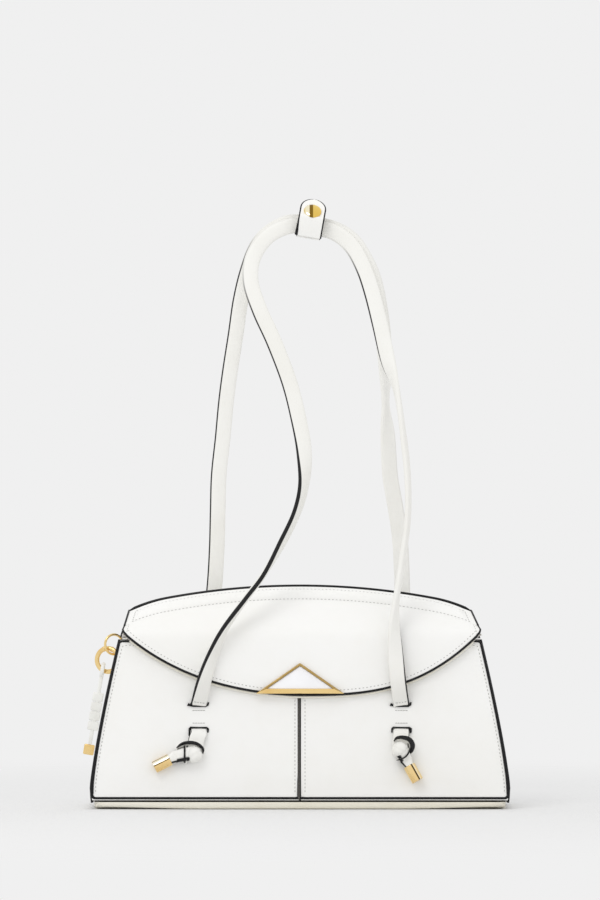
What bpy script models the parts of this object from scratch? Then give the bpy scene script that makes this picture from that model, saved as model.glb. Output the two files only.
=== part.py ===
# A white leather shoulder bag with a flap, two knotted straps and gold trim.
# It stands on its base at the origin and faces -Y. Lengths are metres, Z is up.

import math

import bmesh
import bpy
from mathutils import Matrix, Vector

# Clearances
touch_gap = 0.0003
cut_overrun = 0.006
weld_distance = 0.00001

# Body outline, seen from the front
belly_half_width = 0.1503
belly_height = 0.016
foot_half_width = 0.1488
top_half_width = 0.1305
panel_top_height = 0.121
side_curve_share = 1.25

# Body depth, seen from the side
base_half_depth = 0.0385
front_top_depth = 0.022
front_curve_share = 1.15
ridge_depth = 0.0056

# Ridge, where the back panel meets the flap
ridge_above_front = 0.0389
ridge_rise = 0.0147
ridge_side_inset = 0.0069

# Leather, seams and base
panel_thickness = 0.002
lining_thickness = 0.001
edge_radius = 0.0014
centre_seam_radius = 0.0013
seam_height = 0.0067
base_corner_radius = 0.004
board_thickness = 0.002
gusset_fold = 0.013
mouth_setback = 0.0015
lining_wall_columns = 10
lining_side_columns = 6
corner_steps = 4
side_steps = 8
ridge_steps = 8

# Flap
flap_side_inset = 0.0023
flap_corner_rise = 0.0056
flap_drop = 0.0392
flap_curve_share = 3
flap_outer_thickness = 0.0012
flap_core_thickness = 0.0012
flap_lining_thickness = 0.0007
flap_clearance = 0.0014
flap_shoulder_rise = 0.006
flap_shoulder_round = 0.004
flap_core_inset = 0.007
flap_layer_gap = 0.0005
flap_lining_inset = 0.0008

# Padded rim below the ridge
rim_half_height = 0.0034
rim_half_thickness = 0.0023
rim_end_inset = 0.002

# Flap hinge line below the crown of the ridge
hinge_drop = 0.014

# Triangle on the flap
triangle_half_width = 0.0308
triangle_height = 0.022
triangle_base_bar = 0.0036
triangle_side_bar = 0.0024
triangle_thickness = 0.0022
triangle_foot_rise = 0.0006
inlay_thickness = 0.0012
pin_radius = 0.001
pin_half_spacing = 0.018
pin_rise = 0.0024
back_plate_half_width = 0.0225
back_plate_height = 0.006
back_plate_thickness = 0.0007

# Closure magnets
magnet_radius = 0.006
magnet_thickness = 0.001
magnet_half_spacing = 0.016
magnet_rise = 0.024

# Straps and their slots
slot_offset = 0.0725
slot_below_flap = 0.0148
slot_spacing = 0.0183
slot_clearance = 0.0013
strap_half_width = 0.0057
strap_half_thickness = 0.00225
pass_half_thickness = 0.0015
pass_bend_radius = 0.0022
strap_rise = 0.343
strap_stand_off = 0.0052
strap_top_offset = 0.0027
lean_foot_rise = 0.02
strap_lean_share = 0.955
strap_round_share = 0.6
strap_stations = 88

# Knots, tails and end caps
knot_half_width = 0.0098
knot_half_height = 0.0082
knot_half_depth = 0.0056
knot_clearance = 0.0006
tail_radius = 0.0033
tail_length = 0.0147
tail_round_steps = 4
cap_radius = 0.0043
cap_length = 0.0125
cap_wall = 0.0009
cap_round = 0.0011
cap_round_steps = 3

# Keeper band and its snap
band_half_width = 0.00875
band_thickness = 0.0016
band_slack = 0.0018
band_tilt = math.radians(10)
band_lean = math.radians(43)
band_centre_x = 0.0076
band_roof_rise = 0.0034
band_tip_share = 0.93
tab_steps = 8
rear_face_rise = 0.0088
snap_along = -0.0004
tab_tip_reach = 0.0125
rear_end_reach = 0.0042
rear_start_reach = 0.0068
snap_cap_radius = 0.00625
snap_cap_height = 0.0022
cap_dome_steps = 5
socket_radius = 0.0042
socket_height = 0.0012
stud_radius = 0.0017
stud_height = 0.0009
stud_base_radius = 0.0038
stud_base_height = 0.0005
post_head_radius = 0.0028
post_head_height = 0.0005
stem_radius = 0.0009

# Rings and charm at the left gusset
ring_drop = 0.004
ring_radius = 0.0071
ring_wire_radius = 0.0009
ring_turn = math.radians(30)
clasp_radius = 0.0084
clasp_wire_radius = 0.0017
clasp_turn = math.radians(-20)
ring_spacing = 0.012
ring_hang_ease = math.radians(8)
contact_turn = math.radians(20)
tab_half_width = 0.003
tab_half_height = 0.002
tab_reach = 0.0092
tab_wall = 0.0014
tab_stand_off = 0.0011
tab_hole_radius = 0.0016
charm_eye_turn = math.radians(30)
charm_eye_radius = 0.0056
eye_steps = 8
charm_hole_radius = 0.0039
charm_lean_ease = math.radians(1.6)
charm_half_thickness = 0.0014
charm_link_half_width = 0.0016
charm_link_length = 0.0165
charm_block_half_width = 0.0039
charm_block_height = 0.0064
charm_block_count = 4
charm_block_half_depth = 0.0019
charm_neck_height = 0.0006
charm_tail_length = 0.0095
charm_end_half_width = 0.0038
charm_end_height = 0.0075
charm_end_half_thickness = 0.0018
charm_end_bevel = 0.0008

# Route of each strap from the left slot to the right one. Each row holds x as a share of
# the slot's offset, the rise as a share of the strap's rise, and the turn of its broad
# face as a share of a quarter turn.
front_route_shares = [
    (-1.000, 0.000, 0.00), (-0.943, 0.050, -0.20), (-0.859, 0.103, -0.52), (-0.745, 0.155, -0.80),
    (-0.540, 0.217, -0.97), (-0.359, 0.269, -1.00), (-0.186, 0.332, -0.80), (-0.034, 0.399, -0.75),
    (0.037, 0.460, -0.60), (0.039, 0.527, -0.20), (-0.021, 0.600, 0.00), (-0.110, 0.673, 0.00),
    (-0.255, 0.754, 0.00), (-0.400, 0.822, 0.00), (-0.490, 0.883, 0.00), (-0.462, 0.935, 0.00),
    (-0.310, 0.979, 0.00), (-0.083, 1.000, 0.00), (0.152, 0.995, 0.00), (0.345, 0.985, 0.00),
    (0.510, 0.957, 0.00), (0.628, 0.912, 0.00), (0.710, 0.861, 0.00), (0.793, 0.791, -0.05),
    (0.869, 0.720, -0.30), (0.959, 0.652, -0.90), (1.025, 0.556, -1.10), (1.066, 0.466, -1.10),
    (1.062, 0.381, -1.10), (1.004, 0.291, -1.08), (0.952, 0.221, -1.10), (0.930, 0.163, -1.40),
    (0.942, 0.107, -1.70), (0.966, 0.052, -2.00), (1.000, 0.000, -2.00),
]
back_route_shares = [
    (-1.000, 0.000, 0.00), (-0.966, 0.072, 0.00), (-0.903, 0.160, 0.00), (-0.855, 0.241, 0.00),
    (-0.832, 0.320, 0.00), (-0.822, 0.399, 0.00), (-0.811, 0.475, 0.00), (-0.772, 0.553, 0.00),
    (-0.738, 0.629, 0.00), (-0.697, 0.696, 0.00), (-0.641, 0.772, 0.00), (-0.593, 0.842, 0.00),
    (-0.524, 0.903, 0.00), (-0.428, 0.956, 0.00), (-0.290, 0.988, 0.00), (-0.097, 1.007, 0.00),
    (0.138, 1.002, 0.00), (0.345, 0.993, 0.00), (0.517, 0.970, 0.00), (0.641, 0.932, 0.00),
    (0.731, 0.889, 0.00), (0.793, 0.830, 0.00), (0.830, 0.766, 0.10), (0.852, 0.696, 0.45),
    (0.854, 0.626, 0.80), (0.876, 0.556, 0.30), (0.899, 0.475, 0.10), (0.952, 0.408, 0.00),
    (0.997, 0.341, 0.00), (1.018, 0.262, 0.00), (1.021, 0.189, 0.00), (1.014, 0.087, 0.00),
    (1.000, 0.000, 0.00),
]

# Each knot: side of the bag, shift and drop as shares of the knot's half width and half
# height, and the angle at which its tail falls below the level.
knot_places = {
    "front_left": {"face": "front", "side": -1, "shift_share": 0.7, "drop_share": 1.85, "fall": 27},
    "front_right": {"face": "front", "side": 1, "shift_share": -0.15, "drop_share": 1.7, "fall": 61},
    "back_left": {"face": "back", "side": -1, "shift_share": 0.3, "drop_share": 1.8, "fall": 50},
    "back_right": {"face": "back", "side": 1, "shift_share": 0.5, "drop_share": 1.95, "fall": 28},
}

# Steps and sides of the shapes
panel_steps = 8
back_columns = 16
back_rows = 10
facing_columns = 12
facing_rows = 3
flap_columns = 22
flap_rows = 12
core_columns = 20
core_rows = 10
rim_sides = 10
rim_stations = 24
strap_sides = 8
band_columns = 4
roof_steps = 5
pass_bend_steps = 3
rounding_steps = 3
turned_steps = 20
tail_steps = 14
pin_sides = 10
stem_sides = 12
hole_sides = 16

# Colours, roughness and metallic share of the finishes
white_leather = ((0.90, 0.89, 0.86), 0.45, 0.0)
strap_leather = ((0.88, 0.87, 0.83), 0.45, 0.0)
black_edge = ((0.012, 0.012, 0.013), 0.25, 0.0)
gold_metal = ((0.90, 0.62, 0.25), 0.22, 1.0)
steel_metal = ((0.55, 0.55, 0.56), 0.35, 1.0)
lining_cloth = ((0.72, 0.69, 0.64), 0.9, 0.0)
board_grey = ((0.35, 0.33, 0.30), 0.9, 0.0)
inlay_white = ((0.93, 0.93, 0.93), 0.3, 0.0)
charm_white = ((0.86, 0.86, 0.83), 0.4, 0.0)

# Sizes worked out from the ones above
edge_inset = 2 * edge_radius + touch_gap
corner_turn = edge_radius + touch_gap
gusset_edge_inset = edge_inset + touch_gap
panel_foot_height = seam_height + corner_turn
panel_head_height = panel_top_height - edge_inset
base_rim_height = seam_height - corner_turn
crown_height = panel_top_height + ridge_above_front
ridge_half_width = top_half_width - ridge_side_inset
flap_half_width = top_half_width - flap_side_inset
flap_corner_height = panel_top_height + flap_corner_rise
flap_low_height = panel_top_height - flap_drop
flap_depth = flap_outer_thickness + flap_core_thickness + flap_lining_thickness + 2 * flap_layer_gap
shoulder_height = panel_top_height + flap_shoulder_rise
rim_drop = edge_inset + 2 * rim_half_height + 3 * touch_gap
pass_room = 2 * pass_half_thickness + 2 * touch_gap
board_top_height = panel_thickness + board_thickness + 2 * touch_gap
mouth_height = panel_top_height - mouth_setback
tab_knee_reach = socket_radius + band_thickness
middle_share = 0.5
probe_share = 0.01


def clear_scene():
    for item in list(bpy.data.objects):
        bpy.data.objects.remove(item)


def new_collection(name, hidden):
    group = bpy.data.collections.new(name)
    bpy.context.scene.collection.children.link(group)
    group.hide_render = hidden
    return group


clear_scene()
bag_group = new_collection("shoulder_bag", False)
cutter_group = new_collection("cutters", True)


# Helpers that place, join and finish the parts
def mix(low, high, share):
    return low + (high - low) * share


def smooth_route(points, share):
    spans = len(points) - 1
    place = min(max(share, 0) * spans, spans)
    index = min(int(place), spans - 1)
    step = place - index
    before = points[max(index - 1, 0)]
    start = points[index]
    end = points[index + 1]
    after = points[min(index + 2, spans)]
    slope_in = (end - before) / 2
    slope_out = (after - start) / 2
    squared = step * step
    cubed = squared * step
    return (
        start * (2 * cubed - 3 * squared + 1)
        + slope_in * (cubed - 2 * squared + step)
        + end * (3 * squared - 2 * cubed)
        + slope_out * (cubed - squared)
    )


def make_material(name, finish):
    colour, roughness, metallic = finish
    material = bpy.data.materials.new(name)
    material.use_nodes = True
    shader = material.node_tree.nodes["Principled BSDF"]
    shader.inputs["Base Color"].default_value = (*colour, 1)
    shader.inputs["Roughness"].default_value = roughness
    shader.inputs["Metallic"].default_value = metallic
    return material


def add_joint(name, place):
    joint = bpy.data.objects.new(name, None)
    joint.location = place
    joint.empty_display_size = knot_half_width
    bag_group.objects.link(joint)
    return joint


def add_part(name, shape, finish, joint=None, smooth=True):
    mesh = bpy.data.meshes.new(name)
    shape.to_mesh(mesh)
    shape.free()
    part = bpy.data.objects.new(name, mesh)
    bag_group.objects.link(part)
    if joint:
        mesh.transform(Matrix.Translation(-joint.location))
        part.parent = joint
    mesh.materials.append(make_material(name, finish))
    if smooth:
        mesh.shade_smooth()
        mesh.set_sharp_from_angle(angle=math.radians(40))
    return part


def add_cutter(name, shape, joint=None):
    cutter = add_part(name, shape, board_grey, joint, False)
    bag_group.objects.unlink(cutter)
    cutter_group.objects.link(cutter)
    cutter.display_type = "WIRE"
    cutter.hide_render = True
    return cutter


def thicken(part, thickness):
    solidify = part.modifiers.new("thickness", "SOLIDIFY")
    solidify.thickness = thickness
    solidify.offset = -1
    solidify.use_even_offset = True


def cut(part, cutter, operation="DIFFERENCE"):
    boolean = part.modifiers.new(cutter.name, "BOOLEAN")
    boolean.operation = operation
    boolean.object = cutter
    boolean.solver = "EXACT"


def round_edges(part, width, segments):
    bevel = part.modifiers.new("rounding", "BEVEL")
    bevel.width = width
    bevel.segments = segments
    bevel.limit_method = "ANGLE"


def grid_shape(place, columns, rows):
    shape = bmesh.new()
    bmesh.ops.create_grid(shape, x_segments=columns, y_segments=rows, size=middle_share)
    for vert in shape.verts:
        vert.co = place(vert.co.x + middle_share, vert.co.y + middle_share)
    return shape


def close_ends(shape):
    bmesh.ops.remove_doubles(shape, verts=shape.verts, dist=weld_distance)
    rims = [edge for edge in shape.edges if edge.is_boundary]
    bmesh.ops.holes_fill(shape, edges=rims, sides=0)
    bmesh.ops.recalc_face_normals(shape, faces=shape.faces)


def sweep_shape(ring_point, sides, stations):
    shape = grid_shape(lambda around, along: ring_point(around * math.tau, along), sides, stations)
    close_ends(shape)
    return shape


def box_shape(size, frame):
    shape = bmesh.new()
    bmesh.ops.create_cube(shape, size=1)
    shape.transform(frame @ Matrix.Diagonal((*size, 1)))
    return shape


def cylinder_shape(radius, height, frame, segments):
    shape = bmesh.new()
    bmesh.ops.create_cone(
        shape, cap_ends=True, segments=segments, radius1=radius, radius2=radius, depth=height
    )
    shape.transform(frame)
    return shape


def shape_of_curve(curve, frame):
    holder = bpy.data.objects.new(curve.name, curve)
    bag_group.objects.link(holder)
    bpy.context.view_layer.update()
    seen = holder.evaluated_get(bpy.context.evaluated_depsgraph_get())
    mesh = bpy.data.meshes.new_from_object(seen)
    shape = bmesh.new()
    shape.from_mesh(mesh)
    shape.transform(frame)
    bmesh.ops.remove_doubles(shape, verts=shape.verts, dist=weld_distance)
    bmesh.ops.recalc_face_normals(shape, faces=shape.faces)
    bpy.data.objects.remove(holder)
    bpy.data.meshes.remove(mesh)
    bpy.data.curves.remove(curve)
    return shape


def outline_shape(name, outlines, thickness, frame):
    curve = bpy.data.curves.new(name, "CURVE")
    curve.dimensions = "2D"
    curve.fill_mode = "BOTH"
    curve.extrude = thickness / 2
    for outline in outlines:
        line = curve.splines.new("POLY")
        line.points.add(len(outline) - 1)
        for point, place in zip(line.points, outline):
            point.co = (place[0], place[1], 0, 1)
        line.use_cyclic_u = True
    return shape_of_curve(curve, frame)


def bead_shape(name, points, radius, closed):
    curve = bpy.data.curves.new(name, "CURVE")
    curve.dimensions = "3D"
    curve.bevel_depth = radius
    curve.bevel_resolution = 2
    curve.use_fill_caps = True
    line = curve.splines.new("POLY")
    line.points.add(len(points) - 1)
    for point, place in zip(line.points, points):
        point.co = (*place, 1)
    line.use_cyclic_u = closed
    return shape_of_curve(curve, Matrix())


def add_turned(name, profile, steps, frame, finish, joint):
    # The profile runs down its outer side, from the axis at the top.
    mesh = bpy.data.meshes.new(name)
    links = [(index, index + 1) for index in range(len(profile) - 1)]
    mesh.from_pydata([(radius, 0, height) for radius, height in profile], links, [])
    part = bpy.data.objects.new(name, mesh)
    bag_group.objects.link(part)
    part.parent = joint
    part.matrix_local = Matrix.Translation(-joint.location) @ frame
    screw = part.modifiers.new("turning", "SCREW")
    screw.steps = steps
    screw.render_steps = steps
    screw.use_merge_vertices = True
    screw.merge_threshold = weld_distance
    mesh.materials.append(make_material(name, finish))
    return part


def frame_from(place, along, up):
    side = along.normalized()
    rise = (up - side * up.dot(side)).normalized()
    out = side.cross(rise)
    frame = Matrix((side, rise, out)).transposed().to_4x4()
    frame.translation = place
    return frame


# Shape of the body
def half_width(z):
    if z < belly_height:
        drop_share = (belly_height - z) / belly_height
        return mix(belly_half_width, foot_half_width, drop_share ** 2)
    rise_share = (z - belly_height) / (panel_top_height - belly_height)
    return mix(belly_half_width, top_half_width, rise_share ** side_curve_share)


def front_y(z):
    rise_share = max(z - seam_height, 0) / (panel_top_height - seam_height)
    return mix(-base_half_depth, -front_top_depth, rise_share ** front_curve_share)


def back_y(z):
    rise_share = max(z - seam_height, 0) / (crown_height - seam_height)
    return mix(base_half_depth, ridge_depth, rise_share)


def ridge_z(share):
    return crown_height - ridge_rise * share ** 2


def back_half_width(z):
    if z < panel_top_height:
        return half_width(z)
    rise_share = (z - panel_top_height) / (ridge_z(1) - panel_top_height)
    return mix(top_half_width, ridge_half_width, min(rise_share, 1))


def gusset_x(y, z):
    rise_share = (z - base_rim_height) / (panel_top_height - base_rim_height)
    middle = (front_y(z) + back_y(z)) / 2
    reach = (back_y(z) - front_y(z)) / 2 - gusset_edge_inset
    across_share = min(abs(y - middle) / reach, 1)
    return half_width(z) - gusset_fold * rise_share * (1 - across_share ** 2) ** 2


def wall_y(face, z):
    return front_y(z) if face == "front" else back_y(z)


def wall_frame(face, x, z):
    low = Vector((x, wall_y(face, z - touch_gap), z - touch_gap))
    high = Vector((x, wall_y(face, z + touch_gap), z + touch_gap))
    along = Vector((1, 0, 0)) if face == "front" else Vector((-1, 0, 0))
    return frame_from((low + high) / 2, along, high - low)


# Shape of the flap
def flap_low_z(share):
    return mix(flap_low_height, flap_corner_height, abs(share) ** flap_curve_share)


def flap_y(share, z):
    start_z = ridge_z(share)
    start_y = back_y(start_z) - edge_inset
    wall = front_y(z) - flap_depth - flap_clearance
    shoulder = front_y(shoulder_height) - flap_depth - flap_clearance
    slope = mix(shoulder, start_y, (z - shoulder_height) / (start_z - shoulder_height))
    return (wall + slope + math.hypot(wall - slope, flap_shoulder_round)) / 2


def flap_point(share, drop_share, side_inset, low_inset):
    inner_share = share * (1 - side_inset / flap_half_width)
    top_z = ridge_z(inner_share) - rim_drop
    low_z = flap_low_z(inner_share) + low_inset
    z = mix(top_z, low_z, drop_share)
    side_share = (ridge_z(1) - z) / (ridge_z(1) - flap_corner_height)
    edge_x = mix(ridge_half_width, flap_half_width, min(max(side_share, 0), 1))
    return Vector((inner_share * edge_x, flap_y(inner_share, z), z))


def flap_layer(depth, side_inset, low_inset):
    def surface(across, up):
        share = math.sin((2 * across - 1) * math.pi / 2)
        return flap_point(share, 1 - up, side_inset, low_inset)

    def place(across, up):
        beside = surface(min(across + probe_share, 1), up) - surface(max(across - probe_share, 0), up)
        above = surface(across, min(up + probe_share, 1)) - surface(across, max(up - probe_share, 0))
        return surface(across, up) - beside.cross(above).normalized() * depth

    return place


def flap_frame(x, z):
    low = Vector((x, flap_y(0, z - touch_gap), z - touch_gap))
    high = Vector((x, flap_y(0, z + touch_gap), z + touch_gap))
    return frame_from((low + high) / 2, Vector((1, 0, 0)), high - low)


# Slots, and the place where each strap stands on the body
upper_slot_height = flap_low_z(slot_offset / flap_half_width) - slot_below_flap
slot_middle_height = upper_slot_height - slot_spacing / 2
slot_half_height = pass_half_thickness + slot_clearance
strap_axis_out = touch_gap + strap_half_thickness


def strap_foot(face):
    frame = wall_frame(face, 0, upper_slot_height)
    return frame @ Vector((0, 0, strap_axis_out))


def strap_y(face, rise):
    foot_y = strap_foot(face).y
    if face == "back":
        return mix(foot_y, strap_top_offset, min(rise / (strap_rise * strap_lean_share), 1))
    stand_y = flap_y(0, flap_low_height) - strap_stand_off
    if rise < lean_foot_rise:
        bulge_share = math.sin(rise / lean_foot_rise * math.pi / 2)
        return mix(foot_y, stand_y, bulge_share)
    lean_share = (rise - lean_foot_rise) / (strap_rise * strap_lean_share - lean_foot_rise)
    return mix(stand_y, -strap_top_offset, min(lean_share, 1))


def strap_points(face):
    shares = front_route_shares if face == "front" else back_route_shares
    foot_z = strap_foot(face).z
    points = []
    for x_share, rise_share, turn_share in shares:
        rise = strap_rise * rise_share
        place = (slot_offset * x_share, strap_y(face, rise), foot_z + rise, turn_share)
        points.append(Vector(place))
    return points


def rounded_ring(around, wide, deep):
    side = math.copysign(abs(math.cos(around)) ** strap_round_share, math.cos(around))
    lift = math.copysign(abs(math.sin(around)) ** strap_round_share, math.sin(around))
    return wide * side + deep * lift


def strap_ring(face):
    points = strap_points(face)
    reach = probe_share / 2

    def place(around, along):
        here = smooth_route(points, along)
        ahead = smooth_route(points, min(along + reach, 1))
        behind = smooth_route(points, max(along - reach, 0))
        tangent = (ahead - behind).to_3d().normalized()
        across = tangent.cross(Vector((0, 1, 0))).normalized()
        thick = across.cross(tangent)
        turn = here.w * math.pi / 2
        wide = across * math.cos(turn) + thick * math.sin(turn)
        deep = thick * math.cos(turn) - across * math.sin(turn)
        ring = rounded_ring(around, wide * strap_half_width, deep * strap_half_thickness)
        return here.to_3d() + ring

    return place


# Panels, gussets, base and lining
def front_half(side):
    def place(across, up):
        z = mix(panel_foot_height, panel_head_height, up)
        inner = centre_seam_radius + touch_gap
        outer = half_width(z) - edge_inset
        start, end = (-outer, -inner) if side < 0 else (inner, outer)
        return Vector((mix(start, end, across), front_y(z), z))

    return grid_shape(place, panel_steps, panel_steps)


def back_whole():
    def place(across, up):
        share = 1 - 2 * across
        z = mix(panel_foot_height + touch_gap, ridge_z(share) - edge_inset, up)
        return Vector((share * (back_half_width(z) - edge_inset), back_y(z), z))

    return grid_shape(place, back_columns, back_rows)


def gusset(side):
    def place(across, up):
        z = mix(base_rim_height + 2 * touch_gap, panel_top_height, up)
        forward = front_y(z) + gusset_edge_inset
        rearward = back_y(z) - gusset_edge_inset
        across_share = side * math.sin((2 * across - 1) * math.pi / 2)
        y = mix(forward, rearward, (1 + across_share) / 2)
        return Vector((side * gusset_x(y, z), y, z))

    return grid_shape(place, panel_steps, panel_steps)


def base_tray():
    size = (2 * foot_half_width, 2 * base_half_depth, base_rim_height)
    shape = box_shape(size, Matrix.Translation((0, 0, base_rim_height / 2)))
    lid = [face for face in shape.faces if face.normal.z > middle_share]
    bmesh.ops.delete(shape, geom=lid, context="FACES_ONLY")
    return shape


def lining_inset(z):
    share = (z - board_top_height) / (mouth_height - board_top_height)
    return edge_inset + pass_room * (1 - share ** 3)


def lining_pouch():
    columns = 2 * (lining_wall_columns + lining_side_columns)

    def place(around, up):
        z = mix(board_top_height, mouth_height, up)
        front = front_y(z) + lining_inset(z)
        back = back_y(z) - lining_inset(z)
        inset = 2 * panel_thickness
        index = round(around * columns)
        if index <= lining_wall_columns:
            side_x = gusset_x(front, z) - inset
            return Vector((mix(-side_x, side_x, index / lining_wall_columns), front, z))
        index -= lining_wall_columns
        if index <= lining_side_columns:
            y = mix(front, back, index / lining_side_columns)
            return Vector((gusset_x(y, z) - inset, y, z))
        index -= lining_side_columns
        if index <= lining_wall_columns:
            side_x = gusset_x(back, z) - inset
            return Vector((mix(side_x, -side_x, index / lining_wall_columns), back, z))
        index -= lining_wall_columns
        y = mix(back, front, index / lining_side_columns)
        return Vector((inset - gusset_x(y, z), y, z))

    shape = grid_shape(place, columns, panel_steps)
    bmesh.ops.remove_doubles(shape, verts=shape.verts, dist=weld_distance)
    foot = [
        edge for edge in shape.edges
        if edge.is_boundary and edge.verts[0].co.z < board_top_height + weld_distance
    ]
    bmesh.ops.holes_fill(shape, edges=foot, sides=0)
    bmesh.ops.recalc_face_normals(shape, faces=shape.faces)
    return shape


def back_facing():
    def place(across, up):
        share = 1 - 2 * across
        z = mix(panel_top_height + touch_gap, ridge_z(share) - edge_inset, up)
        width = back_half_width(z) - edge_inset
        return Vector((share * width, back_y(z) - panel_thickness - 2 * touch_gap, z))

    return grid_shape(place, facing_columns, facing_rows)


def front_edge_points():
    points = []
    corner_x = half_width(panel_foot_height) - edge_inset
    top_x = half_width(panel_head_height) - edge_inset
    for step in range(corner_steps + 1):
        angle = step / corner_steps * math.pi / 2
        x = corner_x + corner_turn * math.sin(angle)
        z = panel_foot_height - corner_turn * math.cos(angle)
        points.append((x, z))
    for step in range(1, side_steps):
        z = mix(panel_foot_height, panel_head_height, step / side_steps)
        points.append((half_width(z) - edge_radius, z))
    for step in range(corner_steps + 1):
        angle = step / corner_steps * math.pi / 2
        x = top_x + corner_turn * math.cos(angle)
        z = panel_head_height + corner_turn * math.sin(angle)
        points.append((x, z))
    return points


def back_edge_points():
    points = []
    corner_x = half_width(panel_foot_height) - edge_inset
    head_z = ridge_z(1) - edge_inset
    head_x = back_half_width(head_z) - edge_inset
    for step in range(corner_steps + 1):
        angle = step / corner_steps * math.pi / 2
        x = corner_x + corner_turn * math.sin(angle)
        z = panel_foot_height - corner_turn * math.cos(angle)
        points.append((x, z))
    for step in range(1, side_steps):
        z = mix(panel_foot_height, head_z, step / side_steps)
        points.append((back_half_width(z) - edge_radius, z))
    for step in range(corner_steps + 1):
        angle = step / corner_steps * math.pi / 2
        points.append((head_x + corner_turn * math.cos(angle), head_z + corner_turn * math.sin(angle)))
    for step in range(1, ridge_steps + 1):
        share = mix(head_x / (back_half_width(head_z)), 0, step / ridge_steps)
        points.append((share * (ridge_half_width - edge_radius), ridge_z(share) - edge_radius))
    return points


def edge_loop(half_points, depth_at):
    right = [Vector((x, depth_at(z), z)) for x, z in half_points]
    left = [Vector((-point.x, point.y, point.z)) for point in reversed(right)]
    if abs(left[0].x) < weld_distance:
        left = left[1:]
    return right + left


def build_body():
    for side, name in ((-1, "front_panel_left"), (1, "front_panel_right")):
        panel = add_part(name, front_half(side), white_leather)
        thicken(panel, panel_thickness)
        cut_slots(panel, "front", side)
    back = add_part("back_panel", back_whole(), white_leather)
    thicken(back, panel_thickness)
    cut_slots(back, "back", -1)
    cut_slots(back, "back", 1)
    for side, name in ((-1, "left_gusset"), (1, "right_gusset")):
        thicken(add_part(name, gusset(side), white_leather), panel_thickness)
    tray = add_part("base_panel", base_tray(), white_leather)
    round_edges(tray, base_corner_radius, rounding_steps)
    thicken(tray, panel_thickness)
    board_inset = base_corner_radius + 2 * touch_gap
    board_size = (
        2 * (foot_half_width - board_inset), 2 * (base_half_depth - board_inset), board_thickness
    )
    board_place = Matrix.Translation((0, 0, panel_thickness + touch_gap + board_thickness / 2))
    add_part("base_board", box_shape(board_size, board_place), board_grey)
    thicken(add_part("lining", lining_pouch(), lining_cloth), lining_thickness)
    thicken(add_part("back_facing", back_facing(), lining_cloth), lining_thickness)
    front_bead = edge_loop(front_edge_points(), lambda z: front_y(z) + edge_radius)
    add_part("front_seam_edge", bead_shape("front_bead", front_bead, edge_radius, True), black_edge)
    back_bead = edge_loop(back_edge_points(), lambda z: back_y(z) - edge_radius)
    add_part("back_seam_edge", bead_shape("back_bead", back_bead, edge_radius, True), black_edge)
    seam_points = []
    for step in range(side_steps + 1):
        z = mix(panel_foot_height, panel_head_height, step / side_steps)
        seam_points.append(Vector((0, front_y(z) + panel_thickness / 2, z)))
    centre_seam = bead_shape("centre_bead", seam_points, centre_seam_radius, False)
    add_part("centre_seam_edge", centre_seam, black_edge)


# Slots, strap passes, knots, tails and caps
def cut_slots(panel, face, side):
    size = (2 * (strap_half_width + slot_clearance), 2 * slot_half_height, 2 * cut_overrun)
    middle = wall_frame(face, side * slot_offset, slot_middle_height)
    for rise in (slot_spacing / 2, -slot_spacing / 2):
        name = f"slot_{face}_{'left' if side < 0 else 'right'}_{'upper' if rise > 0 else 'lower'}"
        shape = box_shape(size, middle @ Matrix.Translation((0, rise, 0)))
        cut(panel, add_cutter(name, shape))


def pass_route(knot_shift, knot_drop):
    inside = -(panel_thickness + touch_gap + pass_half_thickness)
    outside = touch_gap + pass_half_thickness + knot_clearance
    upper = slot_spacing / 2
    points = [Vector((0, upper, 0))]
    for step in range(pass_bend_steps + 1):
        angle = step / pass_bend_steps * math.pi / 2
        rise = upper - pass_bend_radius * (1 - math.cos(angle))
        depth = inside + pass_bend_radius * (1 - math.sin(angle))
        points.append(Vector((0, rise, depth)))
    for step in range(pass_bend_steps + 1):
        angle = step / pass_bend_steps * math.pi / 2
        rise = -upper + pass_bend_radius * (1 - math.sin(angle))
        depth = inside + pass_bend_radius * (1 - math.cos(angle))
        points.append(Vector((0, rise, depth)))
    for step in range(pass_bend_steps + 1):
        angle = step / pass_bend_steps * math.pi / 2
        rise = -upper - pass_bend_radius * (1 - math.cos(angle))
        depth = outside - pass_bend_radius * (1 - math.sin(angle))
        points.append(Vector((0, rise, depth)))
    points.append(Vector((knot_shift, -upper - knot_drop, knot_half_depth)))
    return points


def pass_shape(points, frame):
    count = len(points) - 1

    def place(around, along):
        index = round(along * count)
        tangent = points[min(index + 1, count)] - points[max(index - 1, 0)]
        across = Vector((1, 0, 0))
        thick = across.cross(tangent).normalized()
        ring = rounded_ring(around, across * strap_half_width, thick * pass_half_thickness)
        return frame @ (points[index] + ring)

    return sweep_shape(place, strap_sides, count)


def knot_shape(centre, frame):
    shape = bmesh.new()
    bmesh.ops.create_uvsphere(shape, u_segments=14, v_segments=8, radius=1)
    size = Matrix.Diagonal((knot_half_width, knot_half_height, knot_half_depth, 1))
    shape.transform(frame @ Matrix.Translation(centre) @ size)
    return shape


def tail_frame(frame, centre, side, fall):
    # The tail's own axis is Y; Z points away from the wall.
    angle = math.radians(fall)
    along = Vector((side * math.cos(angle), -math.sin(angle), 0))
    reach = 1 / math.hypot(along.x / knot_half_width, along.y / knot_half_height)
    start = centre + along * (reach + tail_radius + touch_gap)
    start.z = cap_radius + touch_gap
    side_axis = along.cross(Vector((0, 0, 1)))
    local = Matrix((side_axis, along, Vector((0, 0, 1)))).transposed().to_4x4()
    local.translation = start
    return frame @ local


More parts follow.
